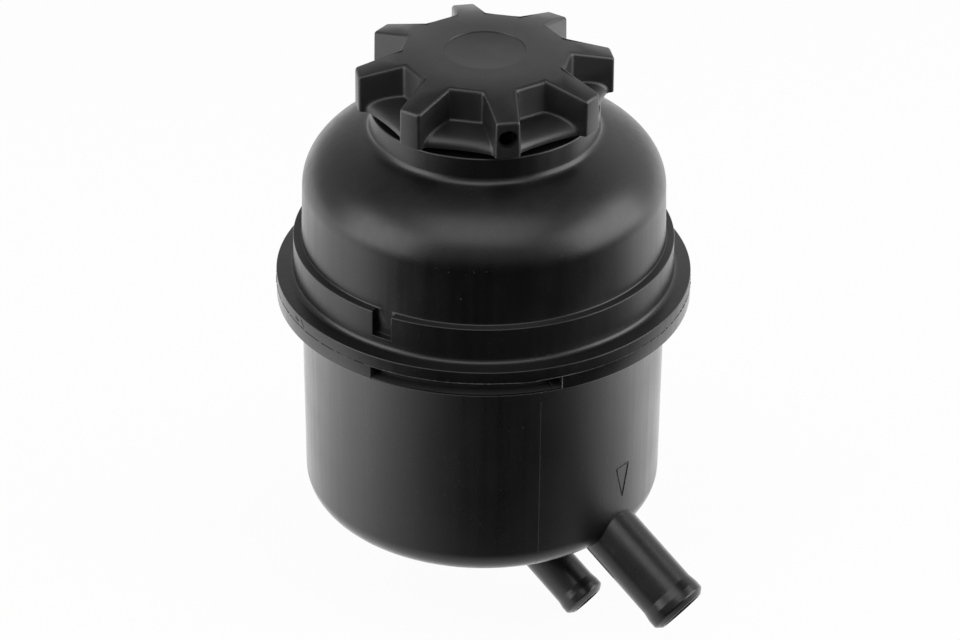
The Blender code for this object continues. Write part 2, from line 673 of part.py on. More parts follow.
def make_filler_cap(parts, cutters, finish_material):
    bm = bmesh.new()
    sections = cap_sections()
    sections += cap_top_loops(sections[-1])
    loops = [[bm.verts.new(point) for point in section] for section in sections]
    for lower, upper in zip(loops, loops[1:]):
        for index in range(len(lower)):
            after = (index + 1) % len(lower)
            bm.faces.new((lower[index], lower[after], upper[after], upper[index]))
    bm.faces.new(loops[0])
    bm.faces.new(loops[-1])
    cap = mesh_object("filler_cap", bm, parts)

    dish = CAP_BOTTOM + DISH_DEPTH
    bore = [(0.0, CAP_CEILING), (CAP_BORE, CAP_CEILING), (CAP_BORE, dish), (DISH_RADIUS - DISH_RISE, dish),
            (DISH_RADIUS, CAP_BOTTOM), (DISH_RADIUS, CAP_BOTTOM - OVERCUT), (0.0, CAP_BOTTOM - OVERCUT)]
    boolean(cap, turned("cap_bore", bore, cutters), "DIFFERENCE")

    bm = bmesh.new()
    core_inner = CAP_BORE + CAP_WALL
    core_outer = LOBE_REACH - CAP_WALL
    height = CORE_HEIGHT + OVERCUT
    for lobe in range(LOBES):
        turn = Matrix.Rotation(math.radians(CAP_PHASE + 360 * lobe / LOBES), 4, "Z")
        middle = ((core_inner + core_outer) / 2, 0.0, CAP_BOTTOM - OVERCUT + height / 2)
        size = (core_outer - core_inner, CORE_WIDTH, height, 1.0)
        bmesh.ops.create_cube(bm, size=1.0, matrix=turn @ Matrix.Translation(middle) @ Matrix.Diagonal(size))
    boolean(cap, mesh_object("lobe_cores", bm, cutters), "DIFFERENCE")

    hole_height = CAP_BOTTOM + LOBE_HOLE_HEIGHT
    hole = cylinder("lobe_hole", LOBE_HOLE_RADIUS, polar(core_outer - CORE_WIDTH / 2, CAP_PHASE, hole_height),
                    polar(LOBE_REACH + OVERCUT, CAP_PHASE, hole_height), cutters, 24)
    boolean(cap, hole, "DIFFERENCE")

    crest_drop = THREAD_ROOT_WIDTH / 2 + THREAD_CREST_WIDTH / 2 + THREAD_FLANK_GAP
    below_neck_thread = NECK_RING_TOP + NECK_THREAD_RISE - crest_drop
    lowest = dish + THREAD_ROOT_WIDTH / 2 + THREAD_FLANK_GAP
    start = THREAD_START + 360 * (lowest - below_neck_thread) / THREAD_LEAD
    section = thread_section(CAP_BORE, -THREAD_DEPTH, -THREAD_SINK)
    boolean(cap, thread("cap_thread", section, start, lowest, CAP_THREAD_TURNS, cutters), "UNION")

    peg = [(PEG_RADIUS, CAP_CEILING + GAP), (PEG_RADIUS, CAP_CEILING - PEG_HEIGHT),
           (PEG_RADIUS - PEG_WALL, CAP_CEILING - PEG_HEIGHT), (PEG_RADIUS - PEG_WALL, CAP_CEILING + GAP)]
    boolean(cap, turned("cap_peg", peg, cutters, TUBE_SIDES), "UNION")
    return finish(cap, finish_material, 28.0)


def make_cap_gasket(parts, finish_material):
    outer = NECK_RADIUS - GAP
    inner = INSERT_RADIUS + GAP
    outline = [(outer, GASKET_TOP), (outer, GASKET_BOTTOM), (inner, GASKET_BOTTOM), (inner, GASKET_TOP)]
    return finish(turned("cap_gasket", outline, parts), finish_material)


def make_cap_insert(parts, finish_material):
    """Plug with a socket for the dipstick and a groove round the cap's peg."""
    groove_outer = PEG_RADIUS + GAP
    groove_inner = PEG_RADIUS - PEG_WALL - GAP
    groove_floor = CAP_CEILING - PEG_HEIGHT - GAP
    underside = INSERT_TOP - INSERT_ROOF
    socket_outer = SOCKET_RADIUS + SOCKET_WALL
    outline = [(0.0, INSERT_TOP), (groove_inner, INSERT_TOP), (groove_inner, groove_floor),
               (groove_outer, groove_floor), (groove_outer, INSERT_TOP), (INSERT_RADIUS, INSERT_TOP),
               (INSERT_RADIUS, INSERT_TOP - INSERT_HEIGHT),
               (INSERT_RADIUS - INSERT_WALL, INSERT_TOP - INSERT_HEIGHT),
               (INSERT_RADIUS - INSERT_WALL, underside), (socket_outer, underside),
               (socket_outer, SOCKET_BOTTOM), (SOCKET_RADIUS, SOCKET_BOTTOM),
               (SOCKET_RADIUS, SOCKET_BOTTOM + SOCKET_DEPTH), (0.0, SOCKET_BOTTOM + SOCKET_DEPTH)]
    return finish(turned("cap_insert", outline, parts, TUBE_SIDES), finish_material)


def make_dipstick(parts, cutters, finish_material):
    """Round stem in the insert's socket, and a flat blade that is narrower between its levels."""
    stem_bottom = STEM_TOP - STEM_LENGTH
    half, narrow = BLADE_WIDTH / 2, BLADE_STEP_WIDTH / 2
    blade_top = SOCKET_BOTTOM - GAP
    point = BLADE_TIP_HEIGHT
    side = [(half, blade_top), (half, LEVEL_MAX_HEIGHT), (narrow, LEVEL_MAX_HEIGHT),
            (narrow, LEVEL_MIN_HEIGHT), (half, LEVEL_MIN_HEIGHT), (half, point + half), (half / 2, point)]
    outline = side + [(-across, height) for across, height in reversed(side)]

    bm = bmesh.new()
    bm.faces.new([bm.verts.new((across, 0.0, height)) for across, height in outline])
    blade = mesh_object("dipstick", bm, parts)
    thickness = blade.modifiers.new("Thickness", "SOLIDIFY")
    thickness.thickness = BLADE_THICKNESS
    thickness.offset = 0.0

    radius = SOCKET_RADIUS - GAP
    stem = cylinder("dipstick_stem", radius, Vector((0, 0, stem_bottom)), Vector((0, 0, STEM_TOP)), cutters, 20)
    boolean(blade, stem, "UNION")
    return finish(blade, finish_material)


# Inside the tank

def make_baffle_plate(parts, cutters, finish_material):
    cup_outer = CUP_BORE + CUP_WALL
    outline = [(BAFFLE_HOLE, BAFFLE_TOP), (BAFFLE_RADIUS, BAFFLE_TOP), (BAFFLE_RADIUS, BAFFLE_BOTTOM),
               (cup_outer, BAFFLE_BOTTOM), (cup_outer, BAFFLE_BOTTOM - CUP_DEPTH),
               (CUP_BORE, BAFFLE_BOTTOM - CUP_DEPTH), (CUP_BORE, BAFFLE_BOTTOM),
               (BAFFLE_HOLE, BAFFLE_BOTTOM)]
    plate = turned("baffle_plate", outline, parts)
    bm = bmesh.new()
    section = box_section(BAFFLE_WINDOW_INNER, BAFFLE_WINDOW_OUTER, BAFFLE_BOTTOM - OVERCUT,
                          BAFFLE_TOP + OVERCUT)
    pitch = 360 / BAFFLE_WINDOWS
    for window in range(BAFFLE_WINDOWS):
        start = window * pitch + BAFFLE_BAR / 2
        add_sweep(bm, section, start, start + pitch - BAFFLE_BAR, 8)
    boolean(plate, mesh_object("baffle_windows", bm, cutters), "DIFFERENCE")
    return finish(plate, finish_material)


def make_filter_cage(parts, cutters, finish_material):
    inner = CAGE_RADIUS - CAGE_WALL
    hole = GROMMET_NECK + GAP
    outline = [(CAGE_RADIUS, CAGE_TOP), (CAGE_RADIUS, CAGE_BOTTOM), (hole, CAGE_BOTTOM),
               (hole, CAGE_BOTTOM + CAGE_FLOOR), (inner, CAGE_BOTTOM + CAGE_FLOOR), (inner, CAGE_TOP)]
    cage = turned("filter_cage", outline, parts, CAGE_SIDES)
    bm = bmesh.new()
    pitch = 360 / CAGE_BARS
    low = CAGE_BOTTOM + CAGE_FLOOR + CAGE_RING / 2
    row = (CAGE_TOP - CAGE_RING - low + CAGE_RING) / CAGE_ROWS
    for bar in range(CAGE_BARS):
        for level in range(CAGE_ROWS):
            foot = low + level * row
            section = box_section(inner - OVERCUT, CAGE_RADIUS + OVERCUT, foot, foot + row - CAGE_RING)
            start = bar * pitch + CAGE_BAR / 2
            add_sweep(bm, section, start, start + pitch - CAGE_BAR, 4)
    boolean(cage, mesh_object("cage_windows", bm, cutters), "DIFFERENCE")
    return finish(cage, finish_material)


def make_filter_mesh(parts, finish_material):
    outer = CAGE_RADIUS - CAGE_WALL - GAP
    inner = outer - MESH_THICKNESS
    low = CAGE_BOTTOM + CAGE_FLOOR + GAP
    outline = [(outer, CAGE_TOP), (outer, low), (inner, low), (inner, CAGE_TOP)]
    return finish(turned("filter_mesh", outline, parts, CAGE_SIDES), finish_material)


def make_filter_top_plate(parts, finish_material):
    spigot = CAGE_RADIUS - CAGE_WALL - GAP - MESH_THICKNESS - GAP
    spigot_foot = TOP_PLATE_BOTTOM - TOP_PLATE_SPIGOT
    boss = SPRING_RADIUS - SPRING_WIRE - GAP
    boss_top = TOP_PLATE_TOP + TOP_PLATE_BOSS_HEIGHT
    outline = [(0.0, boss_top), (boss - RIM_CHAMFER, boss_top), (boss, boss_top - RIM_CHAMFER),
               (boss, TOP_PLATE_TOP), (CAGE_RADIUS, TOP_PLATE_TOP), (CAGE_RADIUS, TOP_PLATE_BOTTOM),
               (spigot, TOP_PLATE_BOTTOM), (spigot, spigot_foot), (spigot - CAGE_WALL, spigot_foot),
               (spigot - CAGE_WALL, TOP_PLATE_BOTTOM), (0.0, TOP_PLATE_BOTTOM)]
    return finish(turned("filter_top_plate", outline, parts, CAGE_SIDES), finish_material)


def make_filter_grommet(parts, finish_material):
    bore = PIPE_RADIUS + GAP
    lower_lip = GROMMET_BOTTOM + GROMMET_LIP
    upper_lip = CAGE_BOTTOM + CAGE_FLOOR + GAP
    top = upper_lip + GROMMET_LIP
    outline = [(GROMMET_UPPER_RADIUS, top), (GROMMET_UPPER_RADIUS, upper_lip), (GROMMET_NECK, upper_lip),
               (GROMMET_NECK, lower_lip), (GROMMET_LOWER_RADIUS, lower_lip),
               (GROMMET_LOWER_RADIUS, GROMMET_BOTTOM), (bore, GROMMET_BOTTOM), (bore, top)]
    return finish(turned("filter_grommet", outline, parts, TUBE_SIDES), finish_material)


def make_spring(parts, finish_material):
    """Compression spring whose end turns lie almost wire on wire."""
    turns = SPRING_ACTIVE_TURNS + 2 * SPRING_END_TURNS
    end_rise = SPRING_END_TURNS * (2 * SPRING_WIRE + GAP)
    low = SPRING_BOTTOM + SPRING_WIRE
    high = SPRING_TOP - SPRING_WIRE
    active_lead = (high - low - 2 * end_rise) / SPRING_ACTIVE_TURNS
    curve = bpy.data.curves.new("hold_down_spring", "CURVE")
    curve.dimensions = "3D"
    curve.bevel_depth = SPRING_WIRE
    curve.bevel_resolution = 2
    curve.use_fill_caps = True
    spline = curve.splines.new("POLY")
    count = round(turns * SPRING_POINTS)
    spline.points.add(count)
    for index in range(count + 1):
        turn = turns * index / count
        active = min(max(turn - SPRING_END_TURNS, 0.0), SPRING_ACTIVE_TURNS)
        height = low + active * active_lead + (turn - active) * (2 * SPRING_WIRE + GAP)
        spline.points[index].co = (*polar(SPRING_RADIUS, 360 * turn, height), 1.0)
    spring = add_object("hold_down_spring", curve, parts)
    curve.materials.append(finish_material)
    return spring


def main():
    for obj in list(bpy.data.objects):
        bpy.data.objects.remove(obj, do_unlink=True)
    parts = bpy.data.collections.new("power_steering_reservoir")
    cutters = bpy.data.collections.new("cutters")
    for collection in (parts, cutters):
        bpy.context.scene.collection.children.link(collection)

    black = material("tank_black", (0.020, 0.020, 0.021), 0.42)
    cap_black = material("cap_black", (0.026, 0.026, 0.027), 0.48)
    rubber = material("seal_rubber", (0.015, 0.015, 0.015), 0.75)
    natural = material("natural_nylon", (0.72, 0.70, 0.62), 0.45)
    screen = material("filter_screen", (0.80, 0.79, 0.74), 0.60)
    steel = material("spring_steel", (0.55, 0.55, 0.56), 0.30, 1.0)

    make_lower_bowl(parts, cutters, black)
    make_upper_shell(parts, cutters, black)
    make_filler_cap(parts, cutters, cap_black)
    make_cap_gasket(parts, rubber)
    make_cap_insert(parts, natural)
    make_dipstick(parts, cutters, natural)
    make_baffle_plate(parts, cutters, natural)
    make_filter_cage(parts, cutters, natural)
    make_filter_mesh(parts, screen)
    make_filter_top_plate(parts, natural)
    make_filter_grommet(parts, rubber)
    make_spring(parts, steel)


main()
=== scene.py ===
"""Looks of the power steering reservoir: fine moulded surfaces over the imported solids, their
materials, and the studio that the photograph shows. Metres, in the part's own frame."""

import math

import bmesh
import bpy
from mathutils import Matrix, Vector, noise


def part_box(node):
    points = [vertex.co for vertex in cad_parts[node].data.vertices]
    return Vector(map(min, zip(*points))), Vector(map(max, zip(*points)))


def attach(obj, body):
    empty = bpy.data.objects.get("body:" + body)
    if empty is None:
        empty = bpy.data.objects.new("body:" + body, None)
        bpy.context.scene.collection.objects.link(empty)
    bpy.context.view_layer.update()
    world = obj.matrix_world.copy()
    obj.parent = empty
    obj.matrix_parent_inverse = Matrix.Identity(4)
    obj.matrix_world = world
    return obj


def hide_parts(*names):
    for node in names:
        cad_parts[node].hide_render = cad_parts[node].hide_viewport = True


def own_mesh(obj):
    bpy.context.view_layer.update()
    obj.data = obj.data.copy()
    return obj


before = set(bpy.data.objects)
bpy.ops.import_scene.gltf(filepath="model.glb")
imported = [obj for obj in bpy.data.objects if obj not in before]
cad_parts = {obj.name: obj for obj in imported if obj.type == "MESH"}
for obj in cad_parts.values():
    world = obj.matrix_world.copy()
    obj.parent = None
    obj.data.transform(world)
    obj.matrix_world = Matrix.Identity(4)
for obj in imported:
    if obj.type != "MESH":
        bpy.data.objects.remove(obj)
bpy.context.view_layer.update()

# Sides of round shapes
ROUND = 240
CAP_ROUND = 180
TUBE_ROUND = 96
HOLE_ROUND = 48

# Below this radius a profile's point lies on the axis
ON_AXIS = 0.000002
# How far a cutter stands past the face that it cuts
OVERCUT = 0.002
GAP = 0.0003
# Shares of a half width at which a bowed line has its points
SPREAD = (-1.0, -0.5, 0.0, 0.5, 1.0)
# Upward parts of a face's normal, from which it counts as level and up to which as upright
LEVEL = 0.9
UPRIGHT = 0.5
# Round shapes turned by part of a facet, so that their sides don't lie on the neighbour's
ELBOW_PHASE = 1.1
DISC_PHASE = 0.7

# Tank, as in the solids, but the window starts 1.9 degrees further right
RIM_RADIUS = 0.0550
RIM_TOP = 0.00735
RIM_ROUNDING = 0.0003
WELD_HEIGHT = 0.00407
WINDOW_RADIUS = 0.0517
WINDOW_START = -121.6
WINDOW_END = -68.1
WINDOW_MARGIN = 0.5
LIP_THICKNESS = 0.0007
LIP_RADIUS = 0.0548
EDGE_FILLET = 0.0004
WALL = 0.0030
BOWL_RADIUS = 0.0483
BOWL_DRAFT = 0.0004
BOWL_DEPTH = 0.0618
BOWL_CORNER_WIDTH = 0.0087
BOWL_CORNER_HEIGHT = 0.0081
# Cove under the flange, as steps out of the bowl's wall and heights
FLANGE_COVE = ((0.0009, 0.0), (0.0003, -0.0003), (0.0, -0.0010))
BAFFLE_LEDGE = 0.00202
BAFFLE_LEDGE_RADIUS = 0.0469
PIPE_RADIUS = 0.0070
PIPE_TOP = -0.0470
PIPE_SEAT_RADIUS = 0.0135
PIPE_SEAT = -0.0555
RISER_BORE = 0.0043
COLLAR_RADIUS = 0.0504
COLLAR_TOP = 0.01735
COLLAR_FOOT_FILLET = 0.0013
NOTCH_ANGLE = -121.0
NOTCH_WIDTH = 0.0058
NOTCH_FLOOR = 0.0102
DOME_BASE_RADIUS = 0.0482
DOME_TOP_RADIUS = 0.0478
DOME_WALL_TOP = 0.0322
SHOULDER_WIDTH = 0.0301
SHOULDER_HEIGHT = 0.01825
NECK_RING_RADIUS = 0.0301
NECK_RING_TOP = 0.0557
NECK_RING_SINK = 0.0001
NECK_RING_COVE = 0.0021
NECK_RING_COVE_WIDTH = 0.0026
NECK_RADIUS = 0.0175
NECK_BORE = 0.0140
NECK_TOP = 0.0660
NECK_ROUNDING = 0.0005
NECK_FOOT_FILLET = 0.0006

# Screw thread
THREAD_LEAD = 0.0050
THREAD_DEPTH = 0.0015
THREAD_ROOT_WIDTH = 0.0018
THREAD_CREST_WIDTH = 0.0010
THREAD_SINK = 0.0004
THREAD_START = 3.0
THREAD_STEPS = 130
# Steps over which a thread's end runs out, and the part of a step that its tip keeps
THREAD_RUN_OUT = 8
THREAD_TIP = 0.4
NECK_THREAD_TURNS = 1.3
NECK_THREAD_HEIGHT = 0.0579
CAP_THREAD_TURNS = 1.25
CAP_THREAD_HEIGHT = 0.0606
CAP_THREAD_DROP = 0.0016

# Cap
LOBES = 8
CAP_PHASE = -79.7
CAP_BOTTOM = 0.0577
CAP_TOP = 0.0713
CAP_CEILING = 0.0683
CAP_BORE = 0.0194
LOBE_REACH = 0.0336
LOBE_TIP_WIDTH = 0.0061
LOBE_TIP_DRAFT = 0.0004
RECESS_DEPTH = 0.0219
RECESS_HALF_WIDTH = 0.0044
RECESS_FLOOR = 0.0617
SKIRT_RADIUS = 0.0305
SKIRT_SAG = 0.0007
SKIRT_EDGE = 0.0006
CROWN_FLAT = 0.0140
CROWN_RADIUS = 0.0530
# Loops of points over the crown, as shares of the way from the edge to a radius, and as radii
CROWN_SHARES = (0.5, 0.75, 1.0)
CROWN_INNER = 0.9 * RECESS_DEPTH
CROWN_RADII = (0.0170, CROWN_FLAT)
DISC_RADIUS = 0.0106
DISC_DEPTH = 0.00022
DISC_FLARE = 0.0012
# Fillet of the disc's edge, as steps inwards and shares of the depth
DISC_FILLET = ((0.0, 0.0), (0.0001, 0.8), (0.0004, 1.0))
CORE_WIDTH = 0.0030
CORE_HEIGHT = 0.0080
CORE_WALL = 0.0020
DISH_RADIUS = 0.0284
DISH_DEPTH = 0.0018
DISH_FLARE = 0.0020
LOBE_HOLE_RADIUS = 0.0025
LOBE_HOLE_HEIGHT = 0.0630
PEG_OUTER = 0.0080
PEG_INNER = 0.0060
PEG_HEIGHT = 0.0025
# Rounding of the cap's edges, and the bend in degrees from which an edge has it
EDGE_ROUND = 0.0008
CREASE = 25

# Marks are placed in degrees to the right of the front, which lies at this heading
FRONT = -90

# Parting line down the bowl, its heading, top and length. It is drawn in the lighter ledge paint, a
# painted highlight along the ridge
PARTING_HEADING = 18.25
PARTING_TOP = -0.0070
PARTING_LENGTH = 0.0520
PARTING_STEPS = 40
# Corners of the raised triangle, as degrees and height
TRIANGLE = ((47.95, -0.0368), (53.9, -0.0367), (51.15, -0.0463))
TRIANGLE_STEPS = 8
# Small ribs in the window, in the lighter ledge paint as painted light: the first one's heading, the
# pitch, and the section of each
RIB_COUNT = 5
RIB_HEADING = 19.4
RIB_PITCH = 0.52
RIB_HALF_WIDTH = 0.10
RIB_SECTION = ((WINDOW_RADIUS - 0.0002, 0.0005), (LIP_RADIUS - 0.0003, 0.0005),
               (LIP_RADIUS - 0.0003, 0.0010), (WINDOW_RADIUS - 0.0002, 0.0016))
# Painted highlights: a light line up the window's end, and one along its lip
STEP_LINE_RADIUS = RIM_RADIUS - 0.00012
STEP_LINE_HEADING = WINDOW_END - 0.1
LIP_LINE_RADIUS = LIP_RADIUS - 0.00010
LIP_LINE_HEIGHT = 0.00014
LIP_STEPS = 90
# Painted highlights: a light line up the notch's side, and light lines across the notch with name and
# radius
NOTCH_EDGE_RADIUS = COLLAR_RADIUS - 0.00006
NOTCH_LINES = (("notch_sill_highlight", COLLAR_RADIUS - 0.00008), ("notch_foot_highlight", DOME_BASE_RADIUS + 0.00005))
# How far an upright line stops short of a corner
LINE_END = 0.0002
# Radii of the wires that draw the marks, and the slight height or depth of their middles
PARTING_WIRE = 0.00008
TRIANGLE_WIRE = 0.00016
STEP_WIRE = 0.00014
EDGE_WIRE = 0.00010
SILL_WIRE = 0.00009
SLIGHT = 0.00002

# Stretches of the weld seam that stay open, and the section, from the rim and the weld, of the near-black
# strip that paints their shade
SEAM_GAPS = ((-57.2, -50.6), (-49.5, -44.5), (-37.0, -34.0), (57.0, 59.5), (63.0, 64.5))
SEAM_GAP_SECTION = ((-0.0003, -0.00013), (0.00003, -0.00009), (0.00003, 0.00009), (-0.0003, 0.00013))
SEAM_GAP_MARGIN = 0.6
# Chips in the upper flange's edge, drawn near-black as painted shadow, as start and end in degrees
# and height, and half width. Their middles lie deeper than the rim by the given share of the half width
SEAM_CHIPS = (((-62.6, 0.0056), (-60.9, 0.0053), 0.00045),
              ((-59.4, 0.0064), (-57.8, 0.0048), 0.00030))
CHIP_SINK = 0.8
CHIP_STEPS = 4
# Weld flash: how far it stands out of the rim and varies, its half heights, and how it wanders
FLASH_STEPS = 1440
FLASH_ROOT = RIM_RADIUS - 0.0004
FLASH_PROUD = 0.00009
FLASH_ROUGH = 0.00018
FLASH_SLOW = 0.00006
FLASH_LEAST = -0.00003
FLASH_GONE = -0.0001
FLASH_ROOT_HALF = 0.00022
FLASH_EDGE_HALF = 0.00006
FLASH_WANDER = 0.00010
FLASH_RIPPLE = 0.00005
# Waves per degree of the flash's roughness, coarse and fine, and of its slow change
FLASH_COARSE = 0.9
FLASH_FINE = 3.1
FLASH_FINE_SHARE = 0.6
FLASH_DRIFT = 0.08
# Sag of the flash over the window
SAG_HEADING = 12.0
SAG_HALF_WIDTH = 3.4
SAG_DEPTH = 0.00028

# Spring over the filter
SPRING_RADIUS = 0.0095
SPRING_WIRE = 0.0008
SPRING_ACTIVE_TURNS = 4
SPRING_END_TURNS = 0.75
SPRING_POINTS = 48

# Nipples, each outline with the radii of tube and bead, the bead's length and the nose's radius
NIPPLE_HEADING = -36.5
NIPPLE_FALL = 34.2
SUCTION_END = Vector((0.053595, -0.042395, -0.074892))
SUCTION_LENGTH = 0.0362
SUCTION_OUTLINE = (0.0079, 0.0083, 0.0060, 0.0067)
SUCTION_BORE = 0.0060
RETURN_END = Vector((0.028939, -0.021414, -0.086666))
RETURN_OUTLINE = (0.0059, 0.0062, 0.0050, 0.0046)
RETURN_BORE = 0.0040
# Shares of the bead's length between which it is full, and roundings from the tube to the nose
BEAD_FULL = (0.60, 0.22)
BEAD_ROUNDINGS = (0.0025, 0.0012, 0.0009, 0.00035)
ELBOW = Vector((0.0, 0.0, -0.0622))
ELBOW_RADIUS = 0.0085

# Camera, from the ellipses that the photograph shows
TARGET = Vector((0.0, 0.0, 0.0073))
DISTANCE = 1.100
ELEVATION = 30.49
ROLL = 0.45
FOCAL = 4140.3
PHOTO_WIDTH = 960
PHOTO_HEIGHT = 640
TARGET_PIXEL = (483.56, 263.48)
SENSOR_WIDTH = 36.0
VIEW_LIMIT = 20.0

# Plastic's specks, and the depths of its upright streaks and its waviness
SPECK_COLOUR = (0.022, 0.022, 0.023, 1.0)
STREAK_DEPTH = 0.0004
WAVE_DEPTH = 0.00012
# Weave: the wave texture's scale for a pitch of one, and the brightness between the threads
WAVE_SCALE = 0.314
WEAVE_SHADOW = 0.35

# Kinds of ray that see the background's brightness, and the kind that sees plain white
MIRROR_RAYS = ("Is Glossy Ray", "Is Transmission Ray")
CAMERA_RAYS = ("Is Camera Ray",)
# What mirror rays see behind the part and in the room ahead, each a product of ranges over the
# ray's direction: axis, from, to, and the values there
BACKDROP = (("Y", -0.15, 0.45, 0.0, 1.15), ("X", -0.55, 0.2, 0.6, 1.0), ("Z", 0.55, 0.85, 1.0, 0.2))
ROOM = (("Z", 0.0, 0.5, 0.20, 0.52), ("Z", 0.60, 0.85, 1.0, 0.4))
AMBIENT = 0.3
# Floor: size, gap under the part, colour, and the whiteness that the camera sees
FLOOR_SIZE = 4.0
FLOOR_GAP = 0.0005
FLOOR_COLOUR = (0.85, 0.85, 0.85, 1.0)
FLOOR_WHITE = 0.95
# Mirror rays see the floor brighten away from the camera in two steps, along a slant: from, to, gain
FLOOR_SLANT = 0.24
FLOOR_STEPS = ((-0.105, -0.060, 0.95), (-0.055, -0.015, 0.60))
# Lamps: name, heading to the right of the front, rise, distance, size and radiance
SOFTBOXES = (("softbox_left", -68.0, 14.0, 0.85, (0.72, 0.86), 3.3),
             ("softbox_right", 82.0, 12.0, 0.85, (0.80, 0.90), 3.9),
             ("softbox_top", -4.0, 61.0, 0.90, (0.95, 0.62), 2.0))


def polar(radius, degrees, height=0.0):
    angle = math.radians(degrees)
    return Vector((radius * math.cos(angle), radius * math.sin(angle), height))


def arc(centre, radii, start, end, steps):
    points = []
    for step in range(steps + 1):
        angle = math.radians(start + (end - start) * step / steps)
        points.append((centre[0] + radii[0] * math.cos(angle), centre[1] + radii[1] * math.sin(angle)))
    return points


def rounded(corners, steps=4):
    """Closed outline of (radius, height, rounding) corners, with an arc in place of each corner
    that has a rounding."""
    points = []
    for index, (radius, height, rounding) in enumerate(corners):
        corner = Vector((radius, height))
        if not rounding:
            points.append((radius, height))
            continue
        back = (Vector(corners[index - 1][:2]) - corner).normalized()
        onward = (Vector(corners[(index + 1) % len(corners)][:2]) - corner).normalized()
        half = back.angle(onward) / 2
        centre = corner + (back + onward).normalized() * rounding / math.sin(half)
        first = corner + back * rounding / math.tan(half) - centre
        last = corner + onward * rounding / math.tan(half) - centre
        start = math.atan2(first.y, first.x)
        sweep = (math.atan2(last.y, last.x) - start + math.pi) % math.tau - math.pi
        for step in range(steps + 1):
            angle = start + sweep * step / steps
            points.append((centre.x + rounding * math.cos(angle), centre.y + rounding * math.sin(angle)))
    return points


def add_object(name, data, matrix=None):
    obj = bpy.data.objects.new(name, data)
    if matrix is not None:
        obj.matrix_world = matrix
    bpy.context.scene.collection.objects.link(obj)
    return obj


def mesh_object(name, bm, matrix=None):
    bmesh.ops.recalc_face_normals(bm, faces=bm.faces)
    mesh = bpy.data.meshes.new(name)
    bm.to_mesh(mesh)
    bm.free()
    return add_object(name, mesh, matrix)


def turned(name, outline, sides=ROUND, matrix=None, phase=0.0):
    """A profile of (radius, height) turned about Z."""
    bm = bmesh.new()
    rings = []
    for radius, height in outline:
        if radius < ON_AXIS:
            rings.append([bm.verts.new((0.0, 0.0, height))])
        else:
            rings.append([bm.verts.new(polar(radius, phase + 360 * side / sides, height))
                          for side in range(sides)])
    pairs = list(zip(rings, rings[1:]))
    if len(rings[0]) > 1 and len(rings[-1]) > 1:
        pairs.append((rings[-1], rings[0]))
    for upper, lower in pairs:
        for side in range(sides):
            after = (side + 1) % sides
            corners = [upper[side % len(upper)], upper[after % len(upper)],
                       lower[after % len(lower)], lower[side % len(lower)]]
            unique = list(dict.fromkeys(corners))
            if len(unique) > 2:
                bm.faces.new(unique)
    return mesh_object(name, bm, matrix)


def bridge(bm, rings):
    """Faces between each ring of points and the next."""
    for lower, upper in zip(rings, rings[1:]):
        for index in range(len(lower)):
            after = (index + 1) % len(lower)
            bm.faces.new((lower[index], lower[after], upper[after], upper[index]))


def box_object(name, size, place):
    bm = bmesh.new()
    bmesh.ops.create_cube(bm, size=1.0, matrix=place @ Matrix.Diagonal((*size, 1.0)))
    return mesh_object(name, bm)


def add_sweep(bm, section, start, end, steps, lead=0.0, run_out=0):
    """Carries a closed section of (radius, height) round Z, rising by the lead in each turn."""
    rings = []
    root = section[0][0]
    for step in range(steps + 1):
        angle = start + (end - start) * step / steps
        rise = lead * (angle - start) / 360
        grown = min(1.0, (min(step, steps - step) + THREAD_TIP) / run_out) if run_out else 1.0
        rings.append([bm.verts.new(polar(root + (radius - root) * grown, angle, height + rise))
                      for radius, height in section])
    bridge(bm, rings)
    bm.faces.new(rings[0])
    bm.faces.new(rings[-1])


def bar(name, radius, start, end, sides=TUBE_ROUND):
    bm = bmesh.new()
    span = end - start
    bmesh.ops.create_cone(bm, cap_ends=True, segments=sides, radius1=radius, radius2=radius,
                          depth=span.length)
    turn = span.to_track_quat("Z", "X").to_matrix().to_4x4()
    bmesh.ops.transform(bm, matrix=Matrix.Translation((start + end) / 2) @ turn, verts=bm.verts)
    return mesh_object(name, bm)


def shaped_mesh(obj):
    """The mesh that the object's modifiers or its curve give."""
    bpy.context.view_layer.update()
    graph = bpy.context.evaluated_depsgraph_get()
    return bpy.data.meshes.new_from_object(obj.evaluated_get(graph))


def combine(target, others, operation):
    for other in others:
        modifier = target.modifiers.new(other.name, "BOOLEAN")
        modifier.operation = operation
        modifier.object = other
        modifier.solver = "EXACT"
    mesh = shaped_mesh(target)
    target.modifiers.clear()
    target.data = mesh
    for other in others:
        bpy.data.objects.remove(other)


def paint(obj, finish):
    obj.data.materials.clear()
    obj.data.materials.append(finish)


def dress(obj, finish, body, slot, *nodes, sharp=35.0):
    """Gives a piece its material and body, and lets it stand for the nodes."""
    paint(obj, finish)
    if obj.type == "MESH":
        obj.data.shade_smooth()
        obj.data.set_sharp_from_angle(angle=math.radians(sharp))
    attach(obj, body)
    if nodes:
        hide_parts(*nodes)


def mark(obj, finish):
    """A small mark on the tank, which stands for no node."""
    dress(obj, finish, "reservoir", "tank_black")


# Materials

def new_material(name, colour, roughness, metallic=0.0, specular=0.5):
    result = bpy.data.materials.new(name)
    result.use_nodes = True
    shader = result.node_tree.nodes["Principled BSDF"]
    shader.inputs["Base Color"].default_value = (*colour, 1.0)
    shader.inputs["Roughness"].default_value = roughness
    shader.inputs["Metallic"].default_value = metallic
    shader.inputs["Specular IOR Level"].default_value = specular
    return result, result.node_tree, shader


def place_noise(tree, coordinates, scale, detail, stretch=(1.0, 1.0, 1.0)):
    mapping = tree.nodes.new("ShaderNodeMapping")
    mapping.inputs["Scale"].default_value = stretch
    tree.links.new(coordinates.outputs["Object"], mapping.inputs["Vector"])
    texture = tree.nodes.new("ShaderNodeTexNoise")
    texture.inputs["Scale"].default_value = scale
    texture.inputs["Detail"].default_value = detail
    tree.links.new(mapping.outputs["Vector"], texture.inputs["Vector"])
    return texture


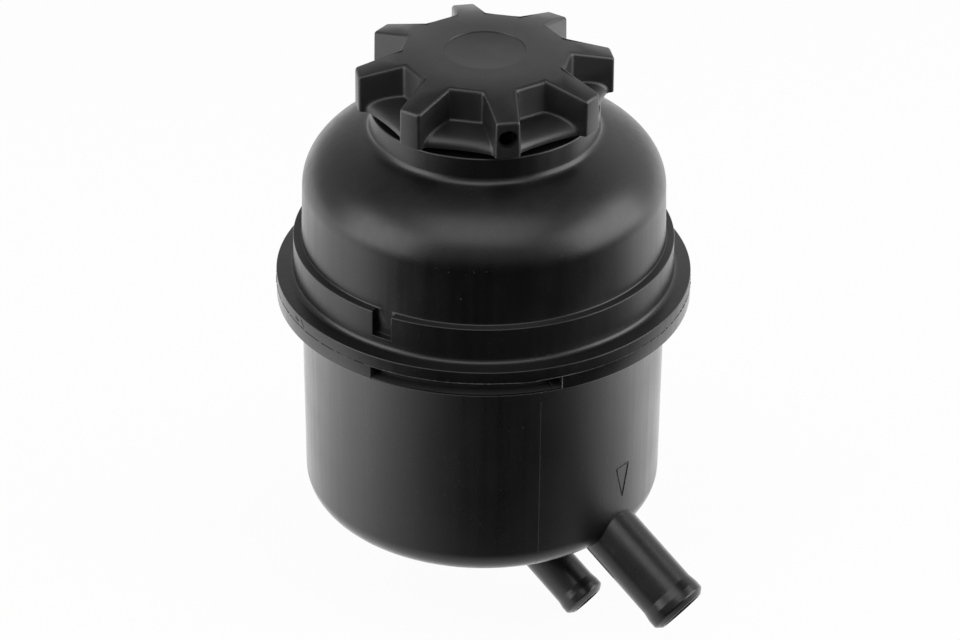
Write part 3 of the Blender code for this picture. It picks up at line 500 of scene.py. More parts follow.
def ranged(tree, source, low, high, out_low, out_high):
    result = tree.nodes.new("ShaderNodeMapRange")
    sockets = ("From Min", "From Max", "To Min", "To Max")
    for socket, value in zip(sockets, (low, high, out_low, out_high)):
        result.inputs[socket].default_value = value
    tree.links.new(source, result.inputs["Value"])
    return result.outputs["Result"]


def joined(tree, operation, first, second):
    """Result of a sum on two values, each a number or another node's."""
    result = tree.nodes.new("ShaderNodeMath")
    result.operation = operation
    for socket, value in zip(result.inputs, (first, second)):
        if isinstance(value, float):
            socket.default_value = value
        else:
            tree.links.new(value, socket)
    return result.outputs[0]


def blended(tree, factor, first, second):
    """Mixes two colours, each a plain one or another node's."""
    mix = tree.nodes.new("ShaderNodeMix")
    mix.data_type = "RGBA"
    tree.links.new(factor, mix.inputs["Factor"])
    for socket, colour in (("A", first), ("B", second)):
        if isinstance(colour, tuple):
            mix.inputs[socket].default_value = colour
        else:
            tree.links.new(colour, mix.inputs[socket])
    return mix.outputs["Result"]


def bump(tree, height, distance, strength=1.0, under=None):
    """Bump from a height, over another bump where one is given."""
    result = tree.nodes.new("ShaderNodeBump")
    result.inputs["Strength"].default_value = strength
    result.inputs["Distance"].default_value = distance
    tree.links.new(height, result.inputs["Height"])
    if under is not None:
        tree.links.new(under, result.inputs["Normal"])
    return result.outputs["Normal"]


def plastic(name, colour, dust, roughness, spread, grain, depth, haze=0.35, streak=0.0, specular=0.5):
    """Moulded plastic: a fine grain, patches of slightly different gloss, faint upright streaks and
    waviness, a haze of dust in places, and a few lighter specks."""
    result, tree, shader = new_material(name, colour, roughness, specular=specular)
    coordinates = tree.nodes.new("ShaderNodeTexCoord")
    patches = place_noise(tree, coordinates, scale=55.0, detail=4.0)
    gloss = ranged(tree, patches.outputs["Fac"], 0.3, 0.7, roughness - spread, roughness + spread)
    streaks = place_noise(tree, coordinates, scale=520.0, detail=2.0, stretch=(1.0, 1.0, 0.02))
    drawn = ranged(tree, streaks.outputs["Fac"], 0.35, 0.65, -streak, streak)
    tree.links.new(joined(tree, "ADD", gloss, drawn), shader.inputs["Roughness"])

    clouds = place_noise(tree, coordinates, scale=120.0, detail=3.0)
    cloud = ranged(tree, clouds.outputs["Fac"], 0.45, 0.75, 0.0, haze)
    hazy = blended(tree, cloud, (*colour, 1.0), (*dust, 1.0))
    specks = place_noise(tree, coordinates, scale=1500.0, detail=0.0)
    speck = ranged(tree, specks.outputs["Fac"], 0.82, 0.86, 0.0, 1.0)
    tree.links.new(blended(tree, speck, hazy, SPECK_COLOUR), shader.inputs["Base Color"])

    grains = place_noise(tree, coordinates, scale=grain, detail=2.0)
    waves = place_noise(tree, coordinates, scale=60.0, detail=1.0, stretch=(1.0, 1.0, 0.35))
    ribbed = bump(tree, streaks.outputs["Fac"], streak * STREAK_DEPTH)
    broad = bump(tree, waves.outputs["Fac"], WAVE_DEPTH, strength=0.5, under=ribbed)
    fine = bump(tree, grains.outputs["Fac"], depth, strength=0.6, under=broad)
    tree.links.new(fine, shader.inputs["Normal"])
    return result


def woven(name, colour, roughness, pitch):
    """Fine square weave from two sets of waves. The pitch is the distance between two threads."""
    result, tree, shader = new_material(name, colour, roughness)
    coordinates = tree.nodes.new("ShaderNodeTexCoord")
    heights = []
    for direction, stretch in (("Z", (0.0, 0.0, 1.0)), ("DIAGONAL", (1.0, 1.0, 0.0))):
        mapping = tree.nodes.new("ShaderNodeMapping")
        mapping.inputs["Scale"].default_value = stretch
        tree.links.new(coordinates.outputs["Object"], mapping.inputs["Vector"])
        wave = tree.nodes.new("ShaderNodeTexWave")
        wave.bands_direction = direction
        wave.inputs["Scale"].default_value = WAVE_SCALE / pitch
        tree.links.new(mapping.outputs["Vector"], wave.inputs["Vector"])
        heights.append(wave.outputs["Fac"])
    weave = joined(tree, "MAXIMUM", heights[0], heights[1])
    tree.links.new(bump(tree, weave, pitch / 4), shader.inputs["Normal"])
    shadowed = (*[value * WEAVE_SHADOW for value in colour], 1.0)
    tree.links.new(blended(tree, weave, shadowed, (*colour, 1.0)), shader.inputs["Base Color"])
    return result


def drawn_wire(name, colour, roughness):
    result, tree, shader = new_material(name, colour, roughness, metallic=1.0)
    coordinates = tree.nodes.new("ShaderNodeTexCoord")
    streaks = place_noise(tree, coordinates, scale=900.0, detail=3.0, stretch=(0.15, 0.15, 1.0))
    tree.links.new(ranged(tree, streaks.outputs["Fac"], 0.3, 0.7, roughness - 0.08, roughness + 0.12),
                   shader.inputs["Roughness"])
    return result


# Tank halves

def shoulder(inner, inset, steps):
    """Arc of the dome's shoulder from the given radius outwards to its springing."""
    centre = DOME_TOP_RADIUS - SHOULDER_WIDTH
    radii = (SHOULDER_WIDTH - inset, SHOULDER_HEIGHT - inset)
    top = math.degrees(math.acos((inner - centre) / radii[0]))
    return arc((centre, DOME_WALL_TOP), radii, top, 0.0, steps)


def make_upper_shell(black, shade_light_paint):
    inner = BOWL_RADIUS - WALL
    ring_bore = NECK_RING_RADIUS - WALL
    centre = DOME_TOP_RADIUS - SHOULDER_WIDTH
    share = (NECK_RING_RADIUS - centre) / SHOULDER_WIDTH
    ring_foot = DOME_WALL_TOP + SHOULDER_HEIGHT * math.sqrt(1 - share * share) - NECK_RING_SINK
    outside = shoulder(NECK_RING_RADIUS + NECK_RING_COVE_WIDTH, 0.0, 40)
    corners = [(NECK_BORE, NECK_TOP, NECK_ROUNDING), (NECK_RADIUS, NECK_TOP, NECK_ROUNDING),
               (NECK_RADIUS, NECK_RING_TOP, NECK_FOOT_FILLET),
               (NECK_RING_RADIUS, NECK_RING_TOP, NECK_ROUNDING),
               (NECK_RING_RADIUS, ring_foot, NECK_RING_COVE)]
    corners += [(radius, height, 0.0) for radius, height in outside]
    corners += [(DOME_BASE_RADIUS, COLLAR_TOP, EDGE_FILLET), (COLLAR_RADIUS, COLLAR_TOP, RIM_ROUNDING),
                (COLLAR_RADIUS, RIM_TOP, COLLAR_FOOT_FILLET), (RIM_RADIUS, RIM_TOP, RIM_ROUNDING),
                (RIM_RADIUS, WELD_HEIGHT, 0.0), (inner, WELD_HEIGHT, 0.0)]
    corners += [(radius, height, 0.0) for radius, height in reversed(shoulder(ring_bore, WALL, 16))]
    corners += [(ring_bore, NECK_RING_TOP - WALL, 0.0), (NECK_BORE, NECK_RING_TOP - WALL, 0.0)]
    shell = turned("tank_top", rounded(corners))

    depth = COLLAR_RADIUS - DOME_BASE_RADIUS + OVERCUT
    height = COLLAR_TOP + OVERCUT - NOTCH_FLOOR
    place = (Matrix.Rotation(math.radians(NOTCH_ANGLE), 4, "Z")
             @ Matrix.Translation((DOME_BASE_RADIUS + depth / 2, 0.0, NOTCH_FLOOR + height / 2)))
    combine(shell, [box_object("notch_cutter", (depth, NOTCH_WIDTH, height), place)], "DIFFERENCE")
    dress(shell, black, "reservoir", "tank_black", "upper_shell")
    # The collar's top ledge takes the lighter shade paint: painted light over the shade that falls on it
    shell.data.materials.append(shade_light_paint)
    for face in shell.data.polygons:
        if face.normal.z > LEVEL and abs(face.center.z - COLLAR_TOP) < EDGE_FILLET / 4:
            face.material_index = 1
    mark(thread("neck_thread", NECK_RADIUS, THREAD_DEPTH, NECK_THREAD_HEIGHT, THREAD_START,
                NECK_THREAD_TURNS), black)


def thread(name, root, depth, height, start, turns):
    """A screw thread that rises from its start. A depth below nothing makes an inner thread."""
    half_crest = THREAD_CREST_WIDTH / 2
    half_root = THREAD_ROOT_WIDTH / 2
    half_foot = half_crest + (half_root - half_crest) * (abs(depth) + THREAD_SINK) / abs(depth)
    sunk = root - math.copysign(THREAD_SINK, depth)
    crest = root + depth
    section = [(sunk, height - half_foot), (crest, height - half_crest), (crest, height + half_crest),
               (sunk, height + half_foot)]
    bm = bmesh.new()
    add_sweep(bm, section, start, start + 360 * turns, THREAD_STEPS, THREAD_LEAD, THREAD_RUN_OUT)
    return mesh_object(name, bm)


def nipple(name, length, outline, place):
    """A nipple standing on its end, with the hose bead low down."""
    radius, bead_radius, bead_end, nose = outline
    bead_corners = [(radius, bead_end), (bead_radius, bead_end * BEAD_FULL[0]),
                    (bead_radius, bead_end * BEAD_FULL[1]), (nose, 0.0)]
    corners = [(0.0, length, 0.0), (radius, length, 0.0)]
    corners += [(*corner, rounding) for corner, rounding in zip(bead_corners, BEAD_ROUNDINGS)]
    return turned(name, rounded(corners + [(0.0, 0.0, 0.0)], 6), TUBE_ROUND, place)


def make_lower_bowl(black, ledge_light_paint, shade_light_paint):
    low_radius = BOWL_RADIUS - BOWL_DRAFT
    corner = (low_radius - BOWL_CORNER_WIDTH, -BOWL_DEPTH + BOWL_CORNER_HEIGHT)
    outline = [(0.0, WELD_HEIGHT), (RIM_RADIUS, WELD_HEIGHT)]
    outline += arc((RIM_RADIUS - EDGE_FILLET, EDGE_FILLET), (EDGE_FILLET, EDGE_FILLET), 0, -90, 5)
    outline += [(BOWL_RADIUS + step, height) for step, height in FLANGE_COVE]
    outline += arc(corner, (BOWL_CORNER_WIDTH, BOWL_CORNER_HEIGHT), 0, -90, 24)
    bowl = turned("tank_bowl", outline + [(0.0, -BOWL_DEPTH)])

    fall = math.radians(NIPPLE_FALL)
    direction = polar(math.cos(fall), NIPPLE_HEADING, -math.sin(fall))
    back = (-direction).to_track_quat("Z", "X").to_matrix().to_4x4()
    suction = nipple("suction_body", SUCTION_LENGTH, SUCTION_OUTLINE,
                     Matrix.Translation(SUCTION_END) @ back)
    feed = nipple("return_body", (RETURN_END - ELBOW).length, RETURN_OUTLINE,
                  Matrix.Translation(RETURN_END) @ back)
    knee = arc((0.0, ELBOW.z), (ELBOW_RADIUS, ELBOW_RADIUS), 30, -90, 16)
    knee[-1] = (0.0, ELBOW.z - ELBOW_RADIUS)
    knee = turned("return_knee", [(0.0, knee[0][1])] + knee, TUBE_ROUND, phase=ELBOW_PHASE)
    combine(bowl, [suction, feed, knee], "UNION")

    floor = -BOWL_DEPTH + WALL
    rise = BOWL_CORNER_HEIGHT - WALL
    cavity = [(0.0, WELD_HEIGHT + OVERCUT), (BAFFLE_LEDGE_RADIUS, WELD_HEIGHT + OVERCUT),
              (BAFFLE_LEDGE_RADIUS, BAFFLE_LEDGE), (BOWL_RADIUS - WALL, BAFFLE_LEDGE)]
    cavity += arc(corner, (BOWL_CORNER_WIDTH - WALL, rise), 0, -90, 10)
    cavity += [(PIPE_SEAT_RADIUS, floor), (PIPE_SEAT_RADIUS, PIPE_SEAT), (PIPE_RADIUS, PIPE_SEAT),
               (PIPE_RADIUS, PIPE_TOP), (0.0, PIPE_TOP)]
    riser = [(0.0, PIPE_TOP + OVERCUT), (RISER_BORE, PIPE_TOP + OVERCUT)]
    riser += arc((0.0, ELBOW.z), (RISER_BORE, RISER_BORE), 0, -90, 12)
    riser[-1] = (0.0, ELBOW.z - RISER_BORE)
    combine(bowl, [turned("cavity_cutter", cavity)], "DIFFERENCE")
    past = direction * OVERCUT
    root = SUCTION_END - direction * (SUCTION_LENGTH + WALL)
    bores = [bar("suction_cutter", SUCTION_BORE, root, SUCTION_END + past),
             bar("return_cutter", RETURN_BORE, ELBOW, RETURN_END + past),
             turned("riser_cutter", riser, TUBE_ROUND, phase=ELBOW_PHASE)]
    past_rim = RIM_RADIUS + OVERCUT
    window = [(WINDOW_RADIUS, LIP_THICKNESS), (LIP_RADIUS, LIP_THICKNESS)]
    window += arc((LIP_RADIUS - EDGE_FILLET, EDGE_FILLET), (EDGE_FILLET, EDGE_FILLET), 0, -84, 4)
    window += [(window[-1][0], -OVERCUT), (past_rim, -OVERCUT), (past_rim, WELD_HEIGHT + OVERCUT),
               (WINDOW_RADIUS, WELD_HEIGHT + OVERCUT)]
    bm = bmesh.new()
    add_sweep(bm, window, WINDOW_START, WINDOW_END, 60)
    bores.append(mesh_object("window_cutter", bm))
    combine(bowl, bores, "DIFFERENCE")
    dress(bowl, black, "reservoir", "tank_black", "lower_bowl")

    # Painted light in the window: its upward ledge takes the lighter ledge paint, and its back wall and
    # ends take the lighter shade paint, where the slot lies in shade
    bowl.data.materials.append(ledge_light_paint)
    bowl.data.materials.append(shade_light_paint)
    for face in bowl.data.polygons:
        radius = Vector(face.center[:2]).length
        heading = math.degrees(math.atan2(face.center.y, face.center.x))
        inside = (face.center.z > LIP_THICKNESS / 2 and radius < RIM_RADIUS - EDGE_FILLET
                  and WINDOW_START - WINDOW_MARGIN < heading < WINDOW_END + WINDOW_MARGIN)
        if inside and face.normal.z > LEVEL and face.center.z < WELD_HEIGHT / 2:
            face.material_index = 1
        elif inside and radius > WINDOW_RADIUS - EDGE_FILLET and abs(face.normal.z) < UPRIGHT:
            face.material_index = 2


def wall_point(degrees, height, proud=0.0):
    """A point on the bowl's drafted wall or on its lower corner."""
    wall = BOWL_DEPTH - BOWL_CORNER_HEIGHT
    share = min(1.0, -height / wall)
    fall = max(0.0, -height - wall) / BOWL_CORNER_HEIGHT
    inward = BOWL_DRAFT * share + BOWL_CORNER_WIDTH * (1 - math.sqrt(1 - fall * fall))
    return polar(BOWL_RADIUS - inward + proud, degrees, height)


def bead(name, points, radius, cyclic=False):
    curve = bpy.data.curves.new(name, "CURVE")
    curve.dimensions = "3D"
    curve.bevel_depth = radius
    curve.bevel_resolution = 2
    curve.use_fill_caps = True
    spline = curve.splines.new("POLY")
    spline.points.add(len(points) - 1)
    for spot, point in zip(spline.points, points):
        spot.co = (*point, 1.0)
    spline.use_cyclic_u = cyclic
    return add_object(name, curve)


def make_bowl_marks(black, ledge_light_paint):
    heights = [PARTING_TOP - PARTING_LENGTH * step / PARTING_STEPS for step in range(PARTING_STEPS + 1)]
    line = [wall_point(FRONT + PARTING_HEADING, height, -SLIGHT) for height in heights]
    mark(bead("parting_line", line, PARTING_WIRE), ledge_light_paint)

    corners = [(FRONT + angle, height) for angle, height in TRIANGLE]
    outline = []
    for (angle, height), (next_angle, next_height) in zip(corners, corners[1:] + corners[:1]):
        for step in range(TRIANGLE_STEPS):
            share = step / TRIANGLE_STEPS
            outline.append(wall_point(angle + (next_angle - angle) * share,
                                      height + (next_height - height) * share, SLIGHT))
    mark(bead("triangle_mark", outline, TRIANGLE_WIRE, cyclic=True), black)


def make_window_marks(highlight_paint, ledge_light_paint):
    bm = bmesh.new()
    for rib in range(RIB_COUNT):
        middle = FRONT + RIB_HEADING + RIB_PITCH * rib
        add_sweep(bm, RIB_SECTION, middle - RIB_HALF_WIDTH, middle + RIB_HALF_WIDTH, 2)
    mark(mesh_object("window_ribs", bm), ledge_light_paint)
    upright = [polar(STEP_LINE_RADIUS, STEP_LINE_HEADING, height)
               for height in (LIP_THICKNESS / 2, WELD_HEIGHT - LINE_END)]
    mark(bead("window_step_highlight", upright, STEP_WIRE), highlight_paint)
    span = WINDOW_END - WINDOW_START
    lip = [polar(LIP_LINE_RADIUS, WINDOW_START + span * step / LIP_STEPS, LIP_LINE_HEIGHT)
           for step in range(LIP_STEPS + 1)]
    mark(bead("window_lip_highlight", lip, EDGE_WIRE), ledge_light_paint)


def make_notch_marks(highlight_paint):
    side = NOTCH_ANGLE + math.degrees(NOTCH_WIDTH / 2 / COLLAR_RADIUS)
    upright = [polar(NOTCH_EDGE_RADIUS, side, height)
               for height in (NOTCH_FLOOR + LINE_END, COLLAR_TOP - LINE_END)]
    mark(bead("notch_edge_highlight", upright, EDGE_WIRE), highlight_paint)
    for name, radius in NOTCH_LINES:
        half = math.degrees(NOTCH_WIDTH / 2 / radius)
        level = [polar(radius, NOTCH_ANGLE + half * share, NOTCH_FLOOR) for share in SPREAD]
        mark(bead(name, level, SILL_WIRE), highlight_paint)


def make_seam_marks(gap_shade_paint):
    # Near-black strips and beads paint the shade in the open seam and the chips
    bm = bmesh.new()
    section = [(RIM_RADIUS + out, WELD_HEIGHT + up) for out, up in SEAM_GAP_SECTION]
    for start, end in SEAM_GAPS:
        add_sweep(bm, section, start + FRONT, end + FRONT, 16)
    mark(mesh_object("seam_gap_shadows", bm), gap_shade_paint)
    for number, (start, end, half_width) in enumerate(SEAM_CHIPS, 1):
        chip = []
        for step in range(CHIP_STEPS + 1):
            heading = start[0] + FRONT + (end[0] - start[0]) * step / CHIP_STEPS
            height = start[1] + (end[1] - start[1]) * step / CHIP_STEPS
            chip.append(polar(RIM_RADIUS - half_width * CHIP_SINK, heading, height))
        mark(bead("seam_chip_shadow_%d" % number, chip, half_width), gap_shade_paint)


def flash_ring(bm, angle):
    """Section of the weld flash at an angle. It goes inside the rim where the seam is open."""
    heading = (angle - FRONT + 180) % 360 - 180
    rough = noise.noise(Vector((angle * FLASH_COARSE, 0.0, 0.0)))
    rough += FLASH_FINE_SHARE * noise.noise(Vector((angle * FLASH_FINE, 5.0, 0.0)))
    slow = noise.noise(Vector((angle * FLASH_DRIFT, 9.0, 0.0)))
    proud = max(FLASH_LEAST, FLASH_PROUD + FLASH_ROUGH * rough + FLASH_SLOW * slow)
    if any(start - SEAM_GAP_MARGIN < heading < end + SEAM_GAP_MARGIN for start, end in SEAM_GAPS):
        proud = FLASH_GONE
    sag = SAG_DEPTH * math.exp(-((heading - SAG_HEADING) / SAG_HALF_WIDTH) ** 4)
    centre = WELD_HEIGHT - sag + FLASH_WANDER * slow + FLASH_RIPPLE * rough
    section = ((FLASH_ROOT, -FLASH_ROOT_HALF), (RIM_RADIUS + proud, -FLASH_EDGE_HALF),
               (RIM_RADIUS + proud, FLASH_EDGE_HALF), (FLASH_ROOT, FLASH_ROOT_HALF))
    return [bm.verts.new(polar(radius, angle, centre + up)) for radius, up in section]


def make_weld_flash(highlight_paint):
    bm = bmesh.new()
    rings = [flash_ring(bm, 360 * step / FLASH_STEPS) for step in range(FLASH_STEPS)]
    bridge(bm, rings + rings[:1])
    # The flash is painted light grey, a painted highlight along its ridge
    mark(mesh_object("weld_flash", bm), highlight_paint)


# Cap

def crown(radius):
    beyond = max(0.0, radius - CROWN_FLAT)
    return CAP_TOP - beyond * beyond / (2 * CROWN_RADIUS)


def cap_outline(recess, sag, draft):
    """Corners of the lobed outline, and the points of its bowed recess edges."""
    half_pitch = math.radians(180 / LOBES)
    half_tip = (LOBE_TIP_WIDTH + draft) / 2
    tip_along = LOBE_REACH * math.cos(half_pitch) + half_tip * math.sin(half_pitch)
    tip_across = LOBE_REACH * math.sin(half_pitch) - half_tip * math.cos(half_pitch)
    slope = (tip_across - RECESS_HALF_WIDTH) / (tip_along - RECESS_DEPTH)
    half_edge = RECESS_HALF_WIDTH + (recess - RECESS_DEPTH) * slope
    points = []
    for lobe in range(LOBES):
        turn = Matrix.Rotation(math.radians(CAP_PHASE + 360 / LOBES * (lobe + 0.5)), 3, "Z")
        local = [Vector((tip_along, -tip_across, 0.0))]
        for share in SPREAD:
            local.append(Vector((recess - sag * (1 - share * share), half_edge * share, 0.0)))
        local.append(Vector((tip_along, tip_across, 0.0)))
        points += [turn @ point for point in local]
    return points


def cap_sections():
    """Loops of points from the skirt up the recesses' flare, over the edge and across the crown."""
    flare_foot = CAP_BOTTOM + SKIRT_EDGE
    levels = [(SKIRT_RADIUS, CAP_BOTTOM)]
    levels += arc((RECESS_DEPTH, flare_foot), (SKIRT_RADIUS - RECESS_DEPTH, RECESS_FLOOR - flare_foot),
                  0, 90, 14)
    sections = []
    side_height = crown(LOBE_REACH) - CAP_BOTTOM
    for recess, height in levels:
        sag = SKIRT_SAG * (recess - RECESS_DEPTH) / (SKIRT_RADIUS - RECESS_DEPTH)
        draft = LOBE_TIP_DRAFT * (1 - (height - CAP_BOTTOM) / side_height)
        sections.append([Vector((p.x, p.y, height)) for p in cap_outline(recess, sag, draft)])
    rim = [Vector((p.x, p.y, crown(p.length))) for p in cap_outline(RECESS_DEPTH, 0.0, 0.0)]
    sections.append(rim)
    for share in CROWN_SHARES:
        loop = []
        for point in rim:
            radius = Vector((point.x, point.y)).length
            target = radius + (CROWN_INNER - radius) * share
            loop.append(Vector((point.x * target / radius, point.y * target / radius, crown(target))))
        sections.append(loop)
    for radius in CROWN_RADII:
        loop = []
        for point in rim:
            scale = radius / Vector((point.x, point.y)).length
            loop.append(Vector((point.x * scale, point.y * scale, crown(radius))))
        sections.append(loop)
    return sections


def make_filler_cap(black):
    bm = bmesh.new()
    loops = [[bm.verts.new(point) for point in section] for section in cap_sections()]
    bridge(bm, loops)
    bm.faces.new(loops[-1])
    bmesh.ops.recalc_face_normals(bm, faces=bm.faces)
    creases = [edge for edge in bm.edges
               if len(edge.link_faces) == 2 and edge.calc_face_angle() > math.radians(CREASE)]
    bmesh.ops.bevel(bm, geom=creases, offset=EDGE_ROUND, offset_type="OFFSET", segments=4, profile=0.5,
                    affect="EDGES", clamp_overlap=False)
    bmesh.ops.holes_fill(bm, edges=[edge for edge in bm.edges if edge.is_boundary], sides=0)
    cap = mesh_object("lobed_cap", bm)

    dish = CAP_BOTTOM + DISH_DEPTH
    bore = turned("bore_cutter", [(0.0, CAP_CEILING), (CAP_BORE, CAP_CEILING), (CAP_BORE, dish),
                                  (DISH_RADIUS - DISH_FLARE, dish), (DISH_RADIUS, CAP_BOTTOM),
                                  (DISH_RADIUS, CAP_BOTTOM - OVERCUT), (0.0, CAP_BOTTOM - OVERCUT)],
                  CAP_ROUND)
    flare = DISC_RADIUS + DISC_FLARE
    outline = [(0.0, CAP_TOP + OVERCUT), (flare, CAP_TOP + OVERCUT), (flare, CAP_TOP + DISC_FLARE)]
    outline += [(DISC_RADIUS - step, CAP_TOP - DISC_DEPTH * share) for step, share in DISC_FILLET]
    disc = turned("disc_cutter", outline + [(0.0, CAP_TOP - DISC_DEPTH)], CAP_ROUND, phase=DISC_PHASE)
    cutters = [bore, disc]
    height = CORE_HEIGHT + OVERCUT
    core_inner, core_outer = CAP_BORE + CORE_WALL, LOBE_REACH - CORE_WALL
    middle = Matrix.Translation(((core_inner + core_outer) / 2, 0.0, CAP_BOTTOM - OVERCUT + height / 2))
    size = (core_outer - core_inner, CORE_WIDTH, height)
    for lobe in range(LOBES):
        turn = Matrix.Rotation(math.radians(CAP_PHASE + 360 * lobe / LOBES), 4, "Z")
        cutters.append(box_object("core_cutter", size, turn @ middle))
    cutters.append(bar("hole_cutter", LOBE_HOLE_RADIUS,
                       polar(core_outer - CORE_WIDTH / 2, CAP_PHASE, LOBE_HOLE_HEIGHT),
                       polar(LOBE_REACH + OVERCUT, CAP_PHASE, LOBE_HOLE_HEIGHT), HOLE_ROUND))
    combine(cap, cutters, "DIFFERENCE")
    dress(cap, black, "cap", "cap_black", "filler_cap", sharp=30.0)

    start = THREAD_START + 360 * (CAP_THREAD_HEIGHT - NECK_THREAD_HEIGHT + CAP_THREAD_DROP) / THREAD_LEAD
    inner_thread = thread("cap_thread", CAP_BORE, -THREAD_DEPTH, CAP_THREAD_HEIGHT, start,
                          CAP_THREAD_TURNS)
    dress(inner_thread, black, "cap", "cap_black")
    ring = [(PEG_OUTER, CAP_CEILING + GAP), (PEG_OUTER, CAP_CEILING - PEG_HEIGHT),
            (PEG_INNER, CAP_CEILING - PEG_HEIGHT), (PEG_INNER, CAP_CEILING + GAP)]
    dress(turned("cap_peg", ring, TUBE_ROUND), black, "cap", "cap_black")


# Spring

def make_spring(steel):
    """Compression spring with closed ends, as tall as the hold-down spring."""
    bottom, top = (corner[2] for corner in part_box("hold_down_spring"))
    turns = SPRING_ACTIVE_TURNS + 2 * SPRING_END_TURNS
    end_lead = 2 * SPRING_WIRE + GAP
    active_rise = top - bottom - 2 * SPRING_WIRE - 2 * SPRING_END_TURNS * end_lead
    points = []
    for index in range(round(turns * SPRING_POINTS) + 1):
        turn = index / SPRING_POINTS
        active = min(max(turn - SPRING_END_TURNS, 0.0), SPRING_ACTIVE_TURNS)
        height = bottom + SPRING_WIRE + active * active_rise / SPRING_ACTIVE_TURNS
        points.append(polar(SPRING_RADIUS, 360 * turn, height + (turn - active) * end_lead))
    wire = bead("spring_wire", points, SPRING_WIRE)
    spring = add_object("coil_spring", shaped_mesh(wire))
    bpy.data.objects.remove(wire)
    dress(spring, steel, "reservoir", "spring_steel", "hold_down_spring")
    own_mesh(spring)


# Studio

def light_share(tree, kinds):
    """One for the given kinds of ray, else nothing."""
    path = tree.nodes.new("ShaderNodeLightPath")
    total = path.outputs[kinds[0]]
    for kind in kinds[1:]:
        total = joined(tree, "MAXIMUM", total, path.outputs[kind])
    return total


def mixed(tree, factor, first, second):
    """Mixes two shaders."""
    mix = tree.nodes.new("ShaderNodeMixShader")
    for socket, source in zip(mix.inputs, (factor, first, second)):
        tree.links.new(source, socket)
    return mix.outputs[0]


def product(tree, split, ranges):
    """Product of ranges over a ray's direction, each with its axis."""
    total = None
    for axis, *limits in ranges:
        value = ranged(tree, split.outputs[axis], *limits)
        total = value if total is None else joined(tree, "MULTIPLY", total, value)
    return total


def make_world():
    """White to the camera. Glossy rays see a bright backdrop behind the part and a dimmer room ahead
    of it, both fading overhead."""
    world = bpy.data.worlds.new("studio")
    world.use_nodes = True
    bpy.context.scene.world = world
    tree = world.node_tree
    tree.nodes.clear()
    out = tree.nodes.new("ShaderNodeOutputWorld")
    direction = tree.nodes.new("ShaderNodeTexCoord")
    split = tree.nodes.new("ShaderNodeSeparateXYZ")
    tree.links.new(direction.outputs["Generated"], split.inputs[0])

    white = tree.nodes.new("ShaderNodeBackground")
    brightness = joined(tree, "MAXIMUM", product(tree, split, BACKDROP), product(tree, split, ROOM))
    mirrored = tree.nodes.new("ShaderNodeBackground")
    tree.links.new(brightness, mirrored.inputs["Strength"])
    ambient = tree.nodes.new("ShaderNodeBackground")
    ambient.inputs["Strength"].default_value = AMBIENT
    seen = mixed(tree, light_share(tree, MIRROR_RAYS), ambient.outputs[0], mirrored.outputs[0])
    seen = mixed(tree, light_share(tree, CAMERA_RAYS), seen, white.outputs[0])
    tree.links.new(seen, out.inputs["Surface"])


def make_floor(level):
    """White to the camera, but for the part's faint shadow. Glossy rays see it brighten backwards."""
    bm = bmesh.new()
    bmesh.ops.create_grid(bm, x_segments=1, y_segments=1, size=FLOOR_SIZE)
    floor = mesh_object("floor", bm, Matrix.Translation((0.0, 0.0, level)))
    finish = bpy.data.materials.new("floor_white")
    finish.use_nodes = True
    tree = finish.node_tree
    tree.nodes.clear()
    out = tree.nodes.new("ShaderNodeOutputMaterial")
    matte = tree.nodes.new("ShaderNodeBsdfDiffuse")
    matte.inputs["Color"].default_value = FLOOR_COLOUR
    glow = tree.nodes.new("ShaderNodeEmission")
    coordinates = tree.nodes.new("ShaderNodeTexCoord")
    split = tree.nodes.new("ShaderNodeSeparateXYZ")
    tree.links.new(coordinates.outputs["Object"], split.inputs[0])
    sideways = joined(tree, "MULTIPLY", split.outputs["X"], FLOOR_SLANT)
    slant = joined(tree, "SUBTRACT", split.outputs["Y"], sideways)
    near, far = [ranged(tree, slant, start, end, 0.0, gain) for start, end, gain in FLOOR_STEPS]
    sheen = tree.nodes.new("ShaderNodeEmission")
    tree.links.new(joined(tree, "ADD", near, far), sheen.inputs["Strength"])
    seen = mixed(tree, light_share(tree, MIRROR_RAYS), matte.outputs[0], sheen.outputs[0])
    whitened = joined(tree, "MULTIPLY", light_share(tree, CAMERA_RAYS), FLOOR_WHITE)
    seen = mixed(tree, whitened, seen, glow.outputs[0])
    tree.links.new(seen, out.inputs["Surface"])
    floor.data.materials.append(finish)


def softbox(name, heading, rise, distance, size, radiance):
    """A soft lamp that faces the part."""
    turn, lift = math.radians(heading), math.radians(rise)
    place = Vector((math.sin(turn) * math.cos(lift), -math.cos(turn) * math.cos(lift), math.sin(lift)))
    lamp = bpy.data.lights.new(name, "AREA")
    lamp.shape = "RECTANGLE"
    lamp.size, lamp.size_y = size
    lamp.energy = radiance * math.pi * size[0] * size[1]
    look = (-place).to_track_quat("-Z", "Y").to_matrix().to_4x4()
    return add_object(name, lamp, Matrix.Translation(place * distance) @ look)


def make_camera():
    data = bpy.data.cameras.new("camera")
    data.sensor_width = SENSOR_WIDTH
    data.lens = FOCAL / PHOTO_WIDTH * data.sensor_width
    data.shift_x = (PHOTO_WIDTH / 2 - TARGET_PIXEL[0]) / PHOTO_WIDTH
    data.shift_y = (TARGET_PIXEL[1] - PHOTO_HEIGHT / 2) / PHOTO_WIDTH
    data.clip_end = VIEW_LIMIT
    rise = math.radians(ELEVATION)
    back = Vector((0.0, -math.cos(rise), math.sin(rise)))
    place = Matrix.Translation(TARGET + back * DISTANCE)
    turn = Matrix.Rotation(math.radians(90 - ELEVATION), 4, "X")
    camera = add_object("camera", data, place @ turn @ Matrix.Rotation(math.radians(ROLL), 4, "Z"))
    bpy.context.scene.camera = camera


